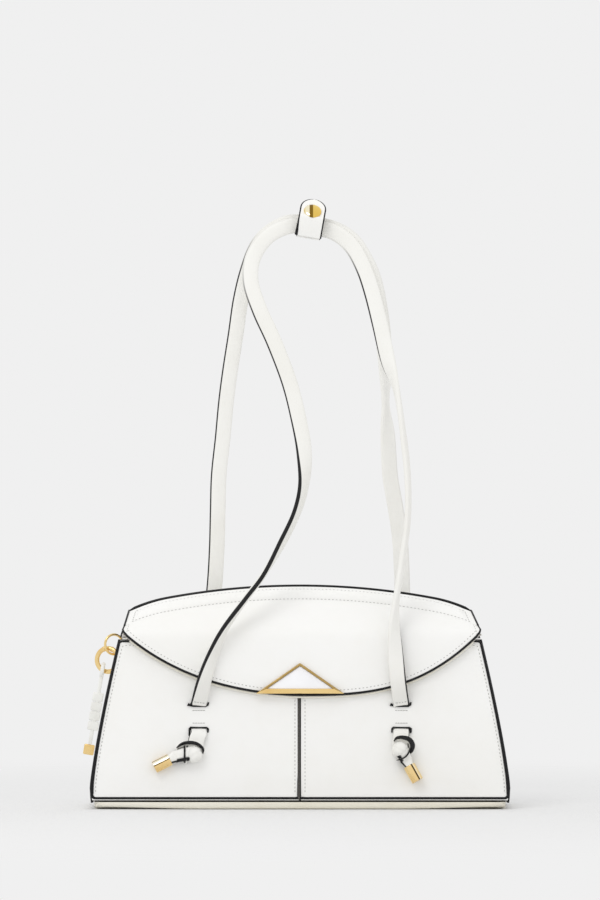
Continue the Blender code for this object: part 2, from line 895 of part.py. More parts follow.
def tail_profile():
    # The inner end is a half ball round the point on which the tail swings.
    length = tail_length - cap_wall - touch_gap
    profile = [(0, length), (tail_radius, length)]
    for step in range(tail_round_steps):
        angle = step / tail_round_steps * math.pi / 2
        profile.append((tail_radius * math.cos(angle), -tail_radius * math.sin(angle)))
    profile.append((0, -tail_radius))
    return profile


def cap_profile():
    mouth = tail_length - cap_length
    inner = tail_radius + touch_gap
    profile = [(0, tail_length)]
    for step in range(cap_round_steps + 1):
        angle = step / cap_round_steps * math.pi / 2
        radius = cap_radius - cap_round * (1 - math.sin(angle))
        profile.append((radius, tail_length - cap_round * (1 - math.cos(angle))))
    profile += [(cap_radius, mouth), (inner, mouth), (inner, tail_length - cap_wall)]
    profile.append((0, tail_length - cap_wall))
    return profile


def build_knots():
    for name, place in knot_places.items():
        side = place["side"]
        frame = wall_frame(place["face"], side * slot_offset, slot_middle_height)
        local_side = side if place["face"] == "front" else -side
        shift = local_side * place["shift_share"] * knot_half_width
        drop = place["drop_share"] * knot_half_height
        centre = Vector((shift, -slot_spacing / 2 - drop, knot_half_depth + knot_clearance))
        strip = pass_shape(pass_route(shift, drop), frame)
        knot = add_part(f"{name}_knot", strip, strap_leather)
        cut(knot, add_cutter(f"{name}_knot_ball", knot_shape(centre, frame)), "UNION")
        tail = tail_frame(frame, centre, local_side, place["fall"])
        joint = add_joint(f"{name}_tail_swing", tail.translation)
        upright = tail @ Matrix.Rotation(-math.pi / 2, 4, "X")
        add_turned(f"{name}_tail", tail_profile(), tail_steps, upright, strap_leather, joint)
        add_turned(f"{name}_cap", cap_profile(), turned_steps, upright, gold_metal, joint)


# Flap, its rim, triangle and magnets
def rim_ring(around, along):
    share = math.sin((2 * along - 1) * math.pi / 2)
    centre_z = ridge_z(share) - edge_inset - rim_half_height + touch_gap
    low_z = centre_z - touch_gap
    high_z = centre_z + touch_gap
    slope = Vector((0, flap_y(share, high_z) - flap_y(share, low_z), high_z - low_z)).normalized()
    outward = Vector((1, 0, 0)).cross(slope)
    x = share * (ridge_half_width - rim_end_inset)
    centre = Vector((x, flap_y(share, centre_z), centre_z)) - outward * flap_depth / 2
    rise = rim_half_height / slope.z
    return centre + slope * rise * math.cos(around) + outward * rim_half_thickness * math.sin(around)


def triangle_outline(inset):
    # Base corners and apex of the triangle, drawn in from the bars' outer sides
    run = math.hypot(triangle_half_width, triangle_height)
    side_shift = inset * run / triangle_height
    apex_shift = inset * run / triangle_half_width
    half = triangle_half_width - side_shift
    return half, triangle_height - apex_shift


def triangle_corners(base_inset, side_inset):
    half, top = triangle_outline(side_inset)
    low_half = half * (top - base_inset) / top
    return [(-low_half, base_inset), (low_half, base_inset), (0, top)]


def build_flap():
    hinge_frame = flap_frame(0, crown_height - hinge_drop)
    hinge = add_joint("flap_hinge", hinge_frame @ Vector((0, 0, -flap_depth / 2)))
    outer_shape = grid_shape(flap_layer(0, 0, 0), flap_columns, flap_rows)
    outer = add_part("flap_outer", outer_shape, white_leather, hinge)
    thicken(outer, flap_outer_thickness)
    core_depth = flap_outer_thickness + flap_layer_gap
    core_place = flap_layer(core_depth, flap_core_inset, flap_core_inset)
    core = add_part("flap_core", grid_shape(core_place, core_columns, core_rows), board_grey, hinge)
    thicken(core, flap_core_thickness)
    lining_depth = core_depth + flap_core_thickness + flap_layer_gap
    lining_place = flap_layer(lining_depth, flap_lining_inset, flap_lining_inset)
    lining = add_part("flap_lining", grid_shape(lining_place, core_columns, core_rows), lining_cloth, hinge)
    thicken(lining, flap_lining_thickness)
    add_part("ridge_rim", sweep_shape(rim_ring, rim_sides, rim_stations), white_leather)
    build_triangle(outer, core, hinge)
    build_magnets(core, hinge, core_depth)


def build_triangle(outer, core, hinge):
    frame = flap_frame(0, flap_low_height + triangle_foot_rise)
    lift = Matrix.Translation((0, 0, touch_gap + triangle_thickness / 2))
    outlines = [triangle_corners(0, 0), triangle_corners(triangle_base_bar, triangle_side_bar)]
    ring = outline_shape("triangle_ring", outlines, triangle_thickness, frame @ lift)
    triangle = add_part("triangle_frame", ring, gold_metal, hinge, False)
    plate_depth = flap_outer_thickness + touch_gap
    pin_length = plate_depth + touch_gap + triangle_thickness / 2
    for side, name in ((-1, "left"), (1, "right")):
        spot = frame @ Matrix.Translation((side * pin_half_spacing, pin_rise, 0))
        pin_place = spot @ Matrix.Translation((0, 0, pin_length / 2 - plate_depth))
        pin = cylinder_shape(pin_radius, pin_length, pin_place, pin_sides)
        cut(triangle, add_cutter(f"triangle_pin_{name}", pin, hinge), "UNION")
        hole = cylinder_shape(pin_radius + touch_gap, 2 * plate_depth, spot, pin_sides)
        cut(outer, add_cutter(f"pin_hole_{name}", hole, hinge))
    inner = triangle_base_bar + touch_gap
    inlay_outline = [triangle_corners(inner, triangle_side_bar + touch_gap)]
    inlay_lift = Matrix.Translation((0, 0, touch_gap + inlay_thickness / 2))
    inlay = outline_shape("inlay", inlay_outline, inlay_thickness, frame @ inlay_lift)
    add_part("triangle_inlay", inlay, inlay_white, hinge, False)
    plate_place = Matrix.Translation((0, pin_rise, -plate_depth - touch_gap - back_plate_thickness / 2))
    plate_size = (2 * back_plate_half_width, back_plate_height, back_plate_thickness)
    add_part("triangle_back_plate", box_shape(plate_size, frame @ plate_place), steel_metal, hinge, False)
    window_size = (
        2 * (back_plate_half_width + 2 * touch_gap), 2 * back_plate_height, 2 * plate_depth
    )
    window = box_shape(window_size, frame @ plate_place)
    cut(core, add_cutter("plate_window", window, hinge))


def build_magnets(core, hinge, core_depth):
    height = flap_low_height + magnet_rise
    for side, name in ((-1, "left"), (1, "right")):
        spot = flap_frame(side * magnet_half_spacing, height)
        depth = core_depth + touch_gap / 2 + magnet_thickness / 2
        place = spot @ Matrix.Translation((0, 0, -depth))
        disc = cylinder_shape(magnet_radius, magnet_thickness, place, turned_steps)
        add_part(f"flap_magnet_{name}", disc, steel_metal, hinge)
        hole = cylinder_shape(magnet_radius + touch_gap, 2 * core_depth, place, turned_steps)
        cut(core, add_cutter(f"magnet_hole_{name}", hole, hinge))
        wall = wall_frame("front", side * magnet_half_spacing, height)
        seat = wall @ Matrix.Translation((0, 0, -panel_thickness - touch_gap - magnet_thickness / 2))
        disc = cylinder_shape(magnet_radius, magnet_thickness, seat, turned_steps)
        add_part(f"front_magnet_{name}", disc, steel_metal)


# Straps
def build_straps():
    front_joint = add_joint("front_strap_swing", strap_foot("front"))
    front = sweep_shape(strap_ring("front"), strap_sides, strap_stations)
    add_part("front_strap", front, strap_leather, front_joint)
    back_joint = add_joint("back_strap_swing", strap_foot("back"))
    back = sweep_shape(strap_ring("back"), strap_sides, strap_stations)
    add_part("back_strap", back, strap_leather, back_joint)
    build_keeper(back_joint)


# Keeper band. In its own frame X runs along the straps, Y points back and Z up.
def strap_top_height(face):
    return max(point.z for point in strap_points(face))


def lean_point(along, rise):
    # A point on the leaning face of the band: along it, and out from the band's centre.
    y = along * math.sin(band_lean) - rise * math.cos(band_lean)
    z = along * math.cos(band_lean) + rise * math.sin(band_lean)
    return y, z


def band_strip(points, frame, wide_at, side):
    count = len(points) - 1

    def place(across, along):
        index = round(along * count)
        y, z = points[index]
        return frame @ Vector((side * (2 * across - 1) * wide_at(index), y, z))

    return grid_shape(place, band_columns, count)


def rear_band_points(outer_y, floor_z, top_z):
    start = lean_point(snap_along + rear_start_reach, rear_face_rise)
    end = lean_point(snap_along - rear_end_reach, rear_face_rise)
    points = [(-outer_y + 2 * touch_gap, floor_z), (0, floor_z), (outer_y, floor_z)]
    points += [(outer_y, mix(floor_z, top_z, middle_share)), (outer_y, top_z)]
    for step in range(1, roof_steps):
        share = step / roof_steps
        y = mix(outer_y, start[0], (1 - math.cos(share * math.pi)) / 2)
        z = mix(top_z, start[1], share) + band_roof_rise * math.sin(share * math.pi)
        points.append((y, z))
    points.append(start)
    points.append(((start[0] + end[0]) / 2, (start[1] + end[1]) / 2))
    points.append(end)
    return points


def front_tab_points(hinge_y, floor_z, face_rise):
    knee = lean_point(snap_along - tab_knee_reach, face_rise)
    foot = (-hinge_y, floor_z + band_thickness / 2)
    points = [foot, (mix(foot[0], knee[0], middle_share), mix(foot[1], knee[1], middle_share)), knee]
    reaches = [-tab_knee_reach]
    for step in range(1, tab_steps + 1):
        reach = mix(-tab_knee_reach, tab_tip_reach, math.sin(step / tab_steps * math.pi / 2))
        reaches.append(reach)
        points.append(lean_point(snap_along + reach, face_rise))
    return points, reaches


def tab_width(index, reaches):
    place = max(index - 2, 0)
    past = reaches[place] - (tab_tip_reach - band_half_width)
    share = min(max(past, 0) / band_half_width, band_tip_share)
    return band_half_width * math.sqrt(1 - share ** 2)


def build_keeper(back_joint):
    front_top = strap_top_height("front")
    back_top = strap_top_height("back")
    centre = Vector((band_centre_x, 0, (front_top + back_top) / 2))
    frame = Matrix.Translation(centre) @ Matrix.Rotation(band_tilt, 4, "Y")
    outer_y = strap_top_offset + strap_half_thickness + touch_gap + band_thickness
    top_z = strap_half_width + (back_top - front_top) / 2 + band_slack
    floor_z = -top_z - band_thickness
    points = rear_band_points(outer_y, floor_z, top_z)
    band = add_part("keeper_band", band_strip(points, frame, lambda index: band_half_width, -1),
                    white_leather, back_joint)
    thicken(band, band_thickness)
    snap_stack = stud_base_height + socket_height + 3 * touch_gap
    face_rise = rear_face_rise + snap_stack + band_thickness
    hinge_y = outer_y + touch_gap + band_thickness
    hinge = frame @ Vector((0, -hinge_y + band_thickness / 2, floor_z))
    tab_joint = add_joint("keeper_tab_turn", hinge)
    points, reaches = front_tab_points(hinge_y, floor_z, face_rise)
    strip = band_strip(points, frame, lambda index: tab_width(index, reaches), 1)
    tab = add_part("keeper_tab", strip, white_leather, tab_joint)
    thicken(tab, band_thickness)
    build_snap(frame, tab, band, tab_joint, back_joint, face_rise)


def snap_frame(frame, rise):
    # Z points out of the leaning face, which lies at zero.
    y, z = lean_point(snap_along, rise)
    lean = Vector((0, math.sin(band_lean), math.cos(band_lean)))
    return frame @ frame_from(Vector((0, y, z)), Vector((1, 0, 0)), lean)


def build_snap(frame, tab, band, tab_joint, back_joint, face_rise):
    outer = snap_frame(frame, face_rise)
    inner = snap_frame(frame, rear_face_rise)
    stem_end = -band_thickness
    cap = [(0, touch_gap + snap_cap_height)]
    for step in range(1, cap_dome_steps + 1):
        angle = step / cap_dome_steps * math.pi / 2
        height = snap_cap_height * math.cos(angle)
        cap.append((snap_cap_radius * math.sin(angle), touch_gap + height))
    cap += [(stem_radius, touch_gap), (stem_radius, stem_end), (0, stem_end)]
    add_turned("snap_cap", cap, 24, outer, gold_metal, tab_joint)
    hole = cylinder_shape(stem_radius + touch_gap, 4 * band_thickness, outer, stem_sides)
    cut(tab, add_cutter("snap_cap_hole", hole, tab_joint))
    top = stem_end - touch_gap
    low = top - socket_height
    cup_radius = stud_radius + 2 * touch_gap
    cup_top = low + stud_height
    socket = [(0, top), (socket_radius, top), (socket_radius, low), (cup_radius, low)]
    socket += [(cup_radius, cup_top), (0, cup_top)]
    add_turned("snap_socket", socket, turned_steps, outer, gold_metal, tab_joint)
    base_top = touch_gap + stud_base_height
    stud_top = base_top + stud_height - touch_gap
    stud = [(0, stud_top), (stud_radius, stud_top), (stud_radius, base_top)]
    stud += [(stud_base_radius, base_top), (stud_base_radius, touch_gap), (stem_radius, touch_gap)]
    stud += [(stem_radius, stem_end), (0, stem_end)]
    add_turned("snap_stud", stud, turned_steps, inner, gold_metal, back_joint)
    hole = cylinder_shape(stem_radius + touch_gap, 4 * band_thickness, inner, stem_sides)
    cut(band, add_cutter("snap_stud_hole", hole, back_joint))
    post_top = -band_thickness - touch_gap
    post_low = post_top - post_head_height
    post = [(0, post_top), (post_head_radius, post_top), (post_head_radius, post_low), (0, post_low)]
    add_turned("snap_post", post, turned_steps, inner, gold_metal, back_joint)


# Ring, clasp ring and charm at the left gusset
def add_ring(name, centre, turn, radius, wire_radius, joint):
    away = Vector((-math.cos(turn), -math.sin(turn), 0))
    frame = frame_from(centre, away, Vector((0, 0, 1)))
    bpy.ops.mesh.primitive_torus_add(
        major_radius=radius, minor_radius=wire_radius, major_segments=28, minor_segments=8
    )
    ring = bpy.context.active_object
    ring.name = name
    for group in ring.users_collection:
        group.objects.unlink(ring)
    bag_group.objects.link(ring)
    ring.parent = joint
    ring.matrix_local = Matrix.Translation(-joint.location) @ frame
    ring.data.materials.append(make_material(name, gold_metal))
    ring.data.shade_smooth()


def charm_outline():
    top_angle = math.pi / 2
    low_angle = -math.acos(charm_link_half_width / charm_eye_radius)
    half = []
    for step in range(eye_steps + 1):
        angle = mix(top_angle, low_angle, step / eye_steps)
        half.append((charm_eye_radius * math.cos(angle), charm_eye_radius * math.sin(angle)))
    blocks_length = charm_block_count * (charm_block_height + charm_neck_height)
    low = -(charm_link_length + blocks_length + charm_tail_length)
    half.append((charm_link_half_width, low))
    left = [(-x, y) for x, y in reversed(half[1:])]
    return half + left, low


def side_lean(high, low):
    return math.atan2(half_width(low) - half_width(high), high - low)


def add_charm_blocks(strand, frame, joint):
    # Flat blocks on the strand, turned a quarter turn from its eye
    size = (2 * charm_block_half_depth, charm_block_height, 2 * charm_block_half_width)
    for block in range(charm_block_count):
        drop = charm_link_length + block * (charm_block_height + charm_neck_height)
        place = frame @ Matrix.Translation((0, -drop - charm_block_height / 2, 0))
        cut(strand, add_cutter(f"charm_block_{block + 1}", box_shape(size, place), joint), "UNION")


def circle_outline(radius, steps):
    turns = [step / steps * math.tau for step in range(steps)]
    return [(radius * math.cos(turn), radius * math.sin(turn)) for turn in turns]


def build_rings():
    height = panel_top_height - ring_drop
    middle_y = (front_y(height) + back_y(height)) / 2
    low = height - tab_half_height
    seat_x = max(gusset_x(middle_y + tab_half_width, low), gusset_x(middle_y - tab_half_width, low))
    seat_x += tab_stand_off
    tab_size = (tab_reach, 2 * tab_half_width, 2 * tab_half_height)
    tab_place = Matrix.Translation((-seat_x - tab_reach / 2, middle_y, height))
    tab = add_part("ring_tab", box_shape(tab_size, tab_place), white_leather)
    hole_x = -(seat_x + tab_reach - tab_wall - tab_hole_radius)
    hole_centre = Vector((hole_x, middle_y, height))
    hole = cylinder_shape(tab_hole_radius, 4 * tab_half_height, Matrix.Translation(hole_centre), hole_sides)
    cut(tab, add_cutter("ring_tab_hole", hole))
    ring_joint = add_joint("ring_swing", hole_centre)
    away = Vector((-math.cos(ring_turn), -math.sin(ring_turn), 0))
    ring_centre = hole_centre + away * ring_radius
    add_ring("gusset_ring", ring_centre, ring_turn, ring_radius, ring_wire_radius, ring_joint)
    ring_hang = side_lean(height, height - ring_spacing) + ring_hang_ease
    hang = Vector((-math.sin(ring_hang), 0, -math.cos(ring_hang)))
    contact = away * math.sin(contact_turn) - Vector((0, 0, math.cos(contact_turn)))
    clasp_joint = add_joint("clasp_swing", ring_centre + contact * ring_radius)
    clasp_centre = ring_centre + hang * ring_spacing
    add_ring("clasp_ring", clasp_centre, clasp_turn, clasp_radius, clasp_wire_radius, clasp_joint)
    clasp_away = Vector((-math.cos(clasp_turn), -math.sin(clasp_turn), 0))
    eye_way = clasp_away * math.sin(charm_eye_turn) - Vector((0, 0, math.cos(charm_eye_turn)))
    eye = clasp_centre + eye_way * clasp_radius
    charm_joint = add_joint("charm_swing", eye)
    outline, low = charm_outline()
    lean = side_lean(eye.z, eye.z + low) - charm_lean_ease
    frame = frame_from(eye, Vector((0, 1, 0)), Vector((math.sin(lean), 0, math.cos(lean))))
    outlines = [outline, circle_outline(charm_hole_radius, hole_sides)]
    shape = outline_shape("strand", outlines, 2 * charm_half_thickness, frame)
    strand = add_part("charm_strand", shape, charm_white, charm_joint, False)
    add_charm_blocks(strand, frame, charm_joint)
    end_size = (2 * charm_end_half_thickness, charm_end_height, 2 * charm_end_half_width)
    end_place = frame @ Matrix.Translation((0, low - touch_gap - charm_end_height / 2, 0))
    end = add_part("charm_end", box_shape(end_size, end_place), gold_metal, charm_joint)
    round_edges(end, charm_end_bevel, 2)


build_body()
build_knots()
build_flap()
build_straps()
build_rings()
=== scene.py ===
import math
import bpy
from mathutils import Matrix, Vector, noise


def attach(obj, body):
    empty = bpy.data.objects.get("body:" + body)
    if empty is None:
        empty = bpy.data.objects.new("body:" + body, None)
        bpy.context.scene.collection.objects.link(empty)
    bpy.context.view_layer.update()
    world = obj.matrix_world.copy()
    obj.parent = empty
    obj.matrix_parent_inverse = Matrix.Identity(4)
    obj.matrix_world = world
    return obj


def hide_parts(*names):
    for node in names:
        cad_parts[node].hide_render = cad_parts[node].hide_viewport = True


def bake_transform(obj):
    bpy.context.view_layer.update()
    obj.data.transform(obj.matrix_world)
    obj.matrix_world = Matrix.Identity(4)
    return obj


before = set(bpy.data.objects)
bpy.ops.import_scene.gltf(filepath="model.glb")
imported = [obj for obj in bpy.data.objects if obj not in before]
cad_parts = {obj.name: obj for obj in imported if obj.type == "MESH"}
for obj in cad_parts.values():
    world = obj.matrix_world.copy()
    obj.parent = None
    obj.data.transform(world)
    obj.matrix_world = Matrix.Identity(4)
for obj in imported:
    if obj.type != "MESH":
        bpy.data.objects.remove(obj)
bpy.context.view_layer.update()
print("frame loaded", len(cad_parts), "nodes")


# small helpers for work in object and edit mode
def deselectAll():
    if bpy.context.object and bpy.context.object.mode != "OBJECT":
        bpy.ops.object.mode_set(mode="OBJECT")
    bpy.ops.object.select_all(action="DESELECT")


def makeActive(piece):
    deselectAll()
    piece.select_set(True)
    bpy.context.view_layer.objects.active = piece


def applyModifier(piece, kind, **settings):
    makeActive(piece)
    modifier = piece.modifiers.new(kind.lower(), kind)
    for name, value in settings.items():
        setattr(modifier, name, value)
    bpy.ops.object.modifier_apply(modifier=modifier.name)


def roundEdges(piece, width, segments=2, degrees=30):
    applyModifier(piece, "BEVEL", width=width, segments=segments, limit_method="ANGLE",
                  angle_limit=math.radians(degrees))


def rename(piece, name):
    piece.name = name
    piece.data.name = name
    return piece


def newMesh(operator, name=None, **settings):
    # a new primitive, with nothing else selected
    deselectAll()
    operator(**settings)
    piece = bpy.context.active_object
    return rename(piece, name) if name else piece


def reshape(piece, place):
    for vert in piece.data.vertices:
        vert.co = place(vert.co)


def paintOnly(piece, material):
    piece.data.materials.clear()
    piece.data.materials.append(material)


def inEditMode(piece, *steps):
    makeActive(piece)
    bpy.ops.object.mode_set(mode="EDIT")
    for step in steps:
        step()
    bpy.ops.object.mode_set(mode="OBJECT")


def selectFaces(piece, test):
    inEditMode(piece, lambda: bpy.ops.mesh.select_all(action="DESELECT"))
    bpy.context.tool_settings.mesh_select_mode = (False, False, True)
    for face in piece.data.polygons:
        face.select = test(face)


def selectAll():
    bpy.ops.mesh.select_all(action="SELECT")


def weld():
    selectAll()
    bpy.ops.mesh.remove_doubles(threshold=0.00001)


def faceOutward():
    selectAll()
    bpy.ops.mesh.normals_make_consistent(inside=False)


def closeHoles():
    bpy.ops.mesh.select_all(action="DESELECT")
    bpy.ops.mesh.select_mode(type="EDGE")
    bpy.ops.mesh.select_non_manifold(extend=False, use_boundary=True, use_wire=False,
                                     use_multi_face=False, use_non_contiguous=False, use_verts=False)
    bpy.ops.mesh.edge_face_add()


def surfacePiece(name, place, columns, rows, closed=False, capped=False):
    # a grid whose points are set out by place(across, up), both from 0 to 1
    piece = newMesh(bpy.ops.mesh.primitive_grid_add, name, x_subdivisions=columns, y_subdivisions=rows,
                    size=1)
    reshape(piece, lambda point: place(point.x + 0.5, point.y + 0.5))
    if capped:
        inEditMode(piece, weld, closeHoles, faceOutward)
    elif closed:
        inEditMode(piece, weld, faceOutward)
    return piece


def joinPieces(name, pieces):
    deselectAll()
    for piece in pieces:
        piece.select_set(True)
    bpy.context.view_layer.objects.active = pieces[0]
    if len(pieces) > 1:
        bpy.ops.object.join()
    return rename(bpy.context.active_object, name)


def mix(low, high, share):
    return low + (high - low) * share


def clamp(value, low=0.0, high=1.0):
    return max(low, min(high, value))


def smooth(value):
    value = clamp(value)
    return value * value * (3 - 2 * value)


def spread(low, high, steps):
    return [mix(low, high, step / steps) for step in range(steps + 1)]


def directionAt(line, index):
    return (line[min(index + 1, len(line) - 1)] - line[max(index - 1, 0)]).normalized()


def mirrored(right):
    # the left half of a loop added to its right half
    return right + [Vector((-point.x, point.y, point.z)) for point in reversed(right[1:-1])]


def smoothRoute(points, share):
    spans = len(points) - 1
    place = clamp(share) * spans
    index = min(int(place), spans - 1)
    step = place - index
    before, start, end = points[max(index - 1, 0)], points[index], points[index + 1]
    after = points[min(index + 2, spans)]
    slopeIn, slopeOut = (end - before) / 2, (after - start) / 2
    squared, cubed = step * step, step ** 3
    return (start * (2 * cubed - 3 * squared + 1) + slopeIn * (cubed - 2 * squared + step)
            + end * (3 * squared - 2 * cubed) + slopeOut * (cubed - squared))


def frameFrom(place, along, up):
    side = along.normalized()
    rise = (up - side * up.dot(side)).normalized()
    out = side.cross(rise)
    made = Matrix((side, rise, out)).transposed().to_4x4()
    made.translation = place
    return made


# shader maths: a socket that can be added, multiplied and so on
class Signal:
    def __init__(self, paint, socket):
        self.paint, self.socket = paint, socket

    def use(self, operation, *values):
        node = self.paint.node("ShaderNodeMath", {"operation": operation},
                               {i: v for i, v in enumerate(values)})
        return Signal(self.paint, node.outputs[0])

    def __add__(self, other): return self.use("ADD", self, other)
    def __radd__(self, other): return self.use("ADD", other, self)
    def __sub__(self, other): return self.use("SUBTRACT", self, other)
    def __rsub__(self, other): return self.use("SUBTRACT", other, self)
    def __mul__(self, other): return self.use("MULTIPLY", self, other)
    def __rmul__(self, other): return self.use("MULTIPLY", other, self)
    def __truediv__(self, other): return self.use("DIVIDE", self, other)
    def __pow__(self, other): return self.use("POWER", self, other)
    def size(self): return self.use("ABSOLUTE", self)
    def part(self): return self.use("FRACT", self)
    def least(self, other): return self.use("MINIMUM", self, other)
    def most(self, other): return self.use("MAXIMUM", self, other)

    def between(self, low, high):
        # 0 at low, 1 at high, smooth in between
        node = self.paint.node("ShaderNodeMapRange", {"interpolation_type": "SMOOTHSTEP"},
                               {"Value": self, "From Min": low, "From Max": high})
        return Signal(self.paint, node.outputs[0])


class Paint:
    def __init__(self, name, **sockets):
        self.material = bpy.data.materials.new(name)
        self.material.use_nodes = True
        self.tree = self.material.node_tree
        self.shader = self.tree.nodes["Principled BSDF"]
        for key, value in sockets.items():
            self.set(key.replace("_", " "), value)

    def put(self, socket, value):
        if isinstance(value, Signal):
            self.tree.links.new(value.socket, socket)
        else:
            socket.default_value = value

    def node(self, kind, settings=None, inputs=None):
        node = self.tree.nodes.new(kind)
        for key, value in (settings or {}).items():
            if key == "stops":
                ramp = node.color_ramp.elements
                while len(ramp) < len(value):
                    ramp.new(0.5)
                for element, (place, colour) in zip(ramp, value):
                    element.position = place
                    element.color = colour
            else:
                setattr(node, key, value)
        for key, value in (inputs or {}).items():
            self.put(node.inputs[key], value)
        return node

    def out(self, node, key=0):
        return Signal(self, node.outputs[key])

    def set(self, key, value):
        self.put(self.shader.inputs[key], value)

    def place(self, scale=(1, 1, 1), turn=(0, 0, 0)):
        where = self.node("ShaderNodeTexCoord")
        return self.out(self.node("ShaderNodeMapping", {}, {
            "Vector": self.out(where, "Object"), "Scale": scale, "Rotation": turn}))

    def cloudy(self, vector, scale, detail=3.0, rough=0.5):
        return self.out(self.node("ShaderNodeTexNoise", {}, {
            "Vector": vector, "Scale": scale, "Detail": detail, "Roughness": rough}))

    def cells(self, vector, scale, uneven):
        return self.out(self.node("ShaderNodeTexVoronoi", {"feature": "F1"}, {
            "Vector": vector, "Scale": scale, "Randomness": uneven}))

    def blendColour(self, share, low, high):
        node = self.node("ShaderNodeMix", {"data_type": "RGBA"}, {})
        self.put(node.inputs[0], share)
        self.put(node.inputs[6], low)
        self.put(node.inputs[7], high)
        return self.out(node, 2)

    def bump(self, height, distance, strength=1.0, under=None):
        inputs = {"Height": height, "Distance": distance, "Strength": strength}
        if under is not None:
            inputs["Normal"] = under
        return self.out(self.node("ShaderNodeBump", {}, inputs), "Normal")

    def surfaceUv(self):
        where = self.node("ShaderNodeTexCoord")
        split = self.node("ShaderNodeSeparateXYZ", {}, {0: self.out(where, "UV")})
        return self.out(split, 0), self.out(split, 1)


def colour(red, green, blue):
    return (red, green, blue, 1)


# leather, edge paint, metal, cloth
leatherLook = {
    "white": colour(0.905, 0.902, 0.885), "cream": colour(0.865, 0.855, 0.815),
    "strapWhite": colour(0.875, 0.868, 0.835), "strapCream": colour(0.80, 0.785, 0.73),
    # the base's two creams are darker and warmer than the white: painted shade under the bag
    "shadedBaseCream": colour(0.87, 0.84, 0.74), "shadedBaseTan": colour(0.74, 0.69, 0.56),
    "edgeBlack": colour(0.004, 0.004, 0.005), "edgeWorn": colour(0.010, 0.010, 0.011), "edgeFade": 0.82,
    "grainScale": 1500, "fineScale": 2600, "creaseScale": 260, "grainDepth": 0.00005, "creaseDepth": 0.00025,
    "plainFade": 0.03, "plainShare": 0.93,
}


def leatherPaint(name, pale, warm, edgeHalf=None, plain=(2.0, 3.0)):
    # edgeHalf: half the painted edge's width, as a share of the way round a strap
    # plain: the stretch of the length, as shares, where the folded leather hides its painted edge
    look = leatherLook
    paint = Paint(name)
    where = paint.place()
    cloud = paint.cloudy(where, 11, 3).between(0.35, 0.7)
    mottle = paint.cloudy(where, 90, 3).between(0.4, 0.75)
    base = paint.blendColour(cloud * 0.35 + mottle * 0.15, pale, warm)
    pores = paint.cells(where, look["grainScale"], 0.9).between(0.05, 0.6)
    fine = paint.cloudy(where, look["fineScale"], 2)
    crease = paint.cloudy(where, look["creaseScale"], 4, 0.6)
    rough = 0.40 + pores * 0.05 + crease * 0.10 + mottle * 0.04
    height = pores * 0.6 + fine * 0.4
    normal = paint.bump(height, look["grainDepth"], 0.55)
    normal = paint.bump(crease, look["creaseDepth"], 0.25, normal)
    if edgeHalf:
        around, along = paint.surfaceUv()
        off = (around + 1.5).part() - 0.5
        edge = 1 - off.size().between(edgeHalf * look["edgeFade"], edgeHalf)
        begun, ended = [along.between(place - look["plainFade"], place + look["plainFade"])
                        for place in plain]
        edge = edge * (1 - begun * (1 - ended) * look["plainShare"])
        shade = paint.blendColour(paint.cloudy(where, 500, 3), look["edgeBlack"], look["edgeWorn"])
        base = paint.blendColour(edge, base, shade)
        rough = rough * (1 - edge) + edge * 0.22
    paint.set("Base Color", base)
    paint.set("Roughness", rough)
    paint.set("Normal", normal)
    paint.set("Specular IOR Level", 0.28)
    paint.set("Coat Weight", 0.02)
    paint.set("Coat Roughness", 0.3)
    return paint.material


def edgePaint(name):
    paint = Paint(name)
    where = paint.place()
    blot = paint.cloudy(where, 420, 3)
    paint.set("Base Color", paint.blendColour(blot, leatherLook["edgeBlack"], leatherLook["edgeWorn"]))
    paint.set("Roughness", 0.16 + blot * 0.14)
    paint.set("Normal", paint.bump(paint.cloudy(where, 350, 3), 0.0002, 0.35))
    paint.set("Specular IOR Level", 0.22)
    return paint.material


def threadPaint(name, pale, dark):
    paint = Paint(name)
    where = paint.place()
    twist = paint.cloudy(where, 1800, 2)
    paint.set("Base Color", paint.blendColour(twist, pale, dark))
    paint.set("Roughness", 0.62 + twist * 0.2)
    paint.set("Normal", paint.bump(twist, 0.0001, 0.6))
    return paint.material


def metalPaint(name, pale, deep, rough, brushed=0.0, bands=()):
    # bands: shares across the piece with a dark or bright strip, painted reflections and highlights that
    # stand in for what the polished metal would reflect
    paint = Paint(name, Metallic=1.0)
    where = paint.place()
    haze = paint.cloudy(where, 60, 4)
    scratch = paint.cloudy(paint.place((1, 9, 1)), 700, 3)
    base = paint.blendColour(haze.between(0.3, 0.75), pale, deep)
    for middle, half, shade in bands:
        across = paint.surfaceUv()[0]
        off = (across - middle + haze * 0.01 - 0.005).size()
        base = paint.blendColour(1 - off.between(half * 0.7, half), base, shade)
    paint.set("Base Color", base)
    paint.set("Roughness", rough + haze * 0.07 + scratch * (0.05 + brushed))
    paint.set("Normal", paint.bump(scratch, 0.00003, 0.25 + brushed))
    return paint.material


def clothPaint(name, pale, dark, threads):
    paint = Paint(name)
    where = paint.place()
    warp, weft = [paint.out(paint.node("ShaderNodeTexWave", {"bands_direction": way}, {
        "Vector": where, "Scale": threads / 6.28, "Distortion": 0.6, "Detail": 1.0}), "Fac") for way in ("Z",
                                                                                                         "X")]
    weave = warp * 0.5 + weft * 0.5
    paint.set("Base Color", paint.blendColour(weave * 0.7 + paint.cloudy(where, 30, 3) * 0.3, dark, pale))
    paint.set("Roughness", 0.8 + weave * 0.12)
    paint.set("Normal", paint.bump(weave, 0.0002, 0.6))
    return paint.material


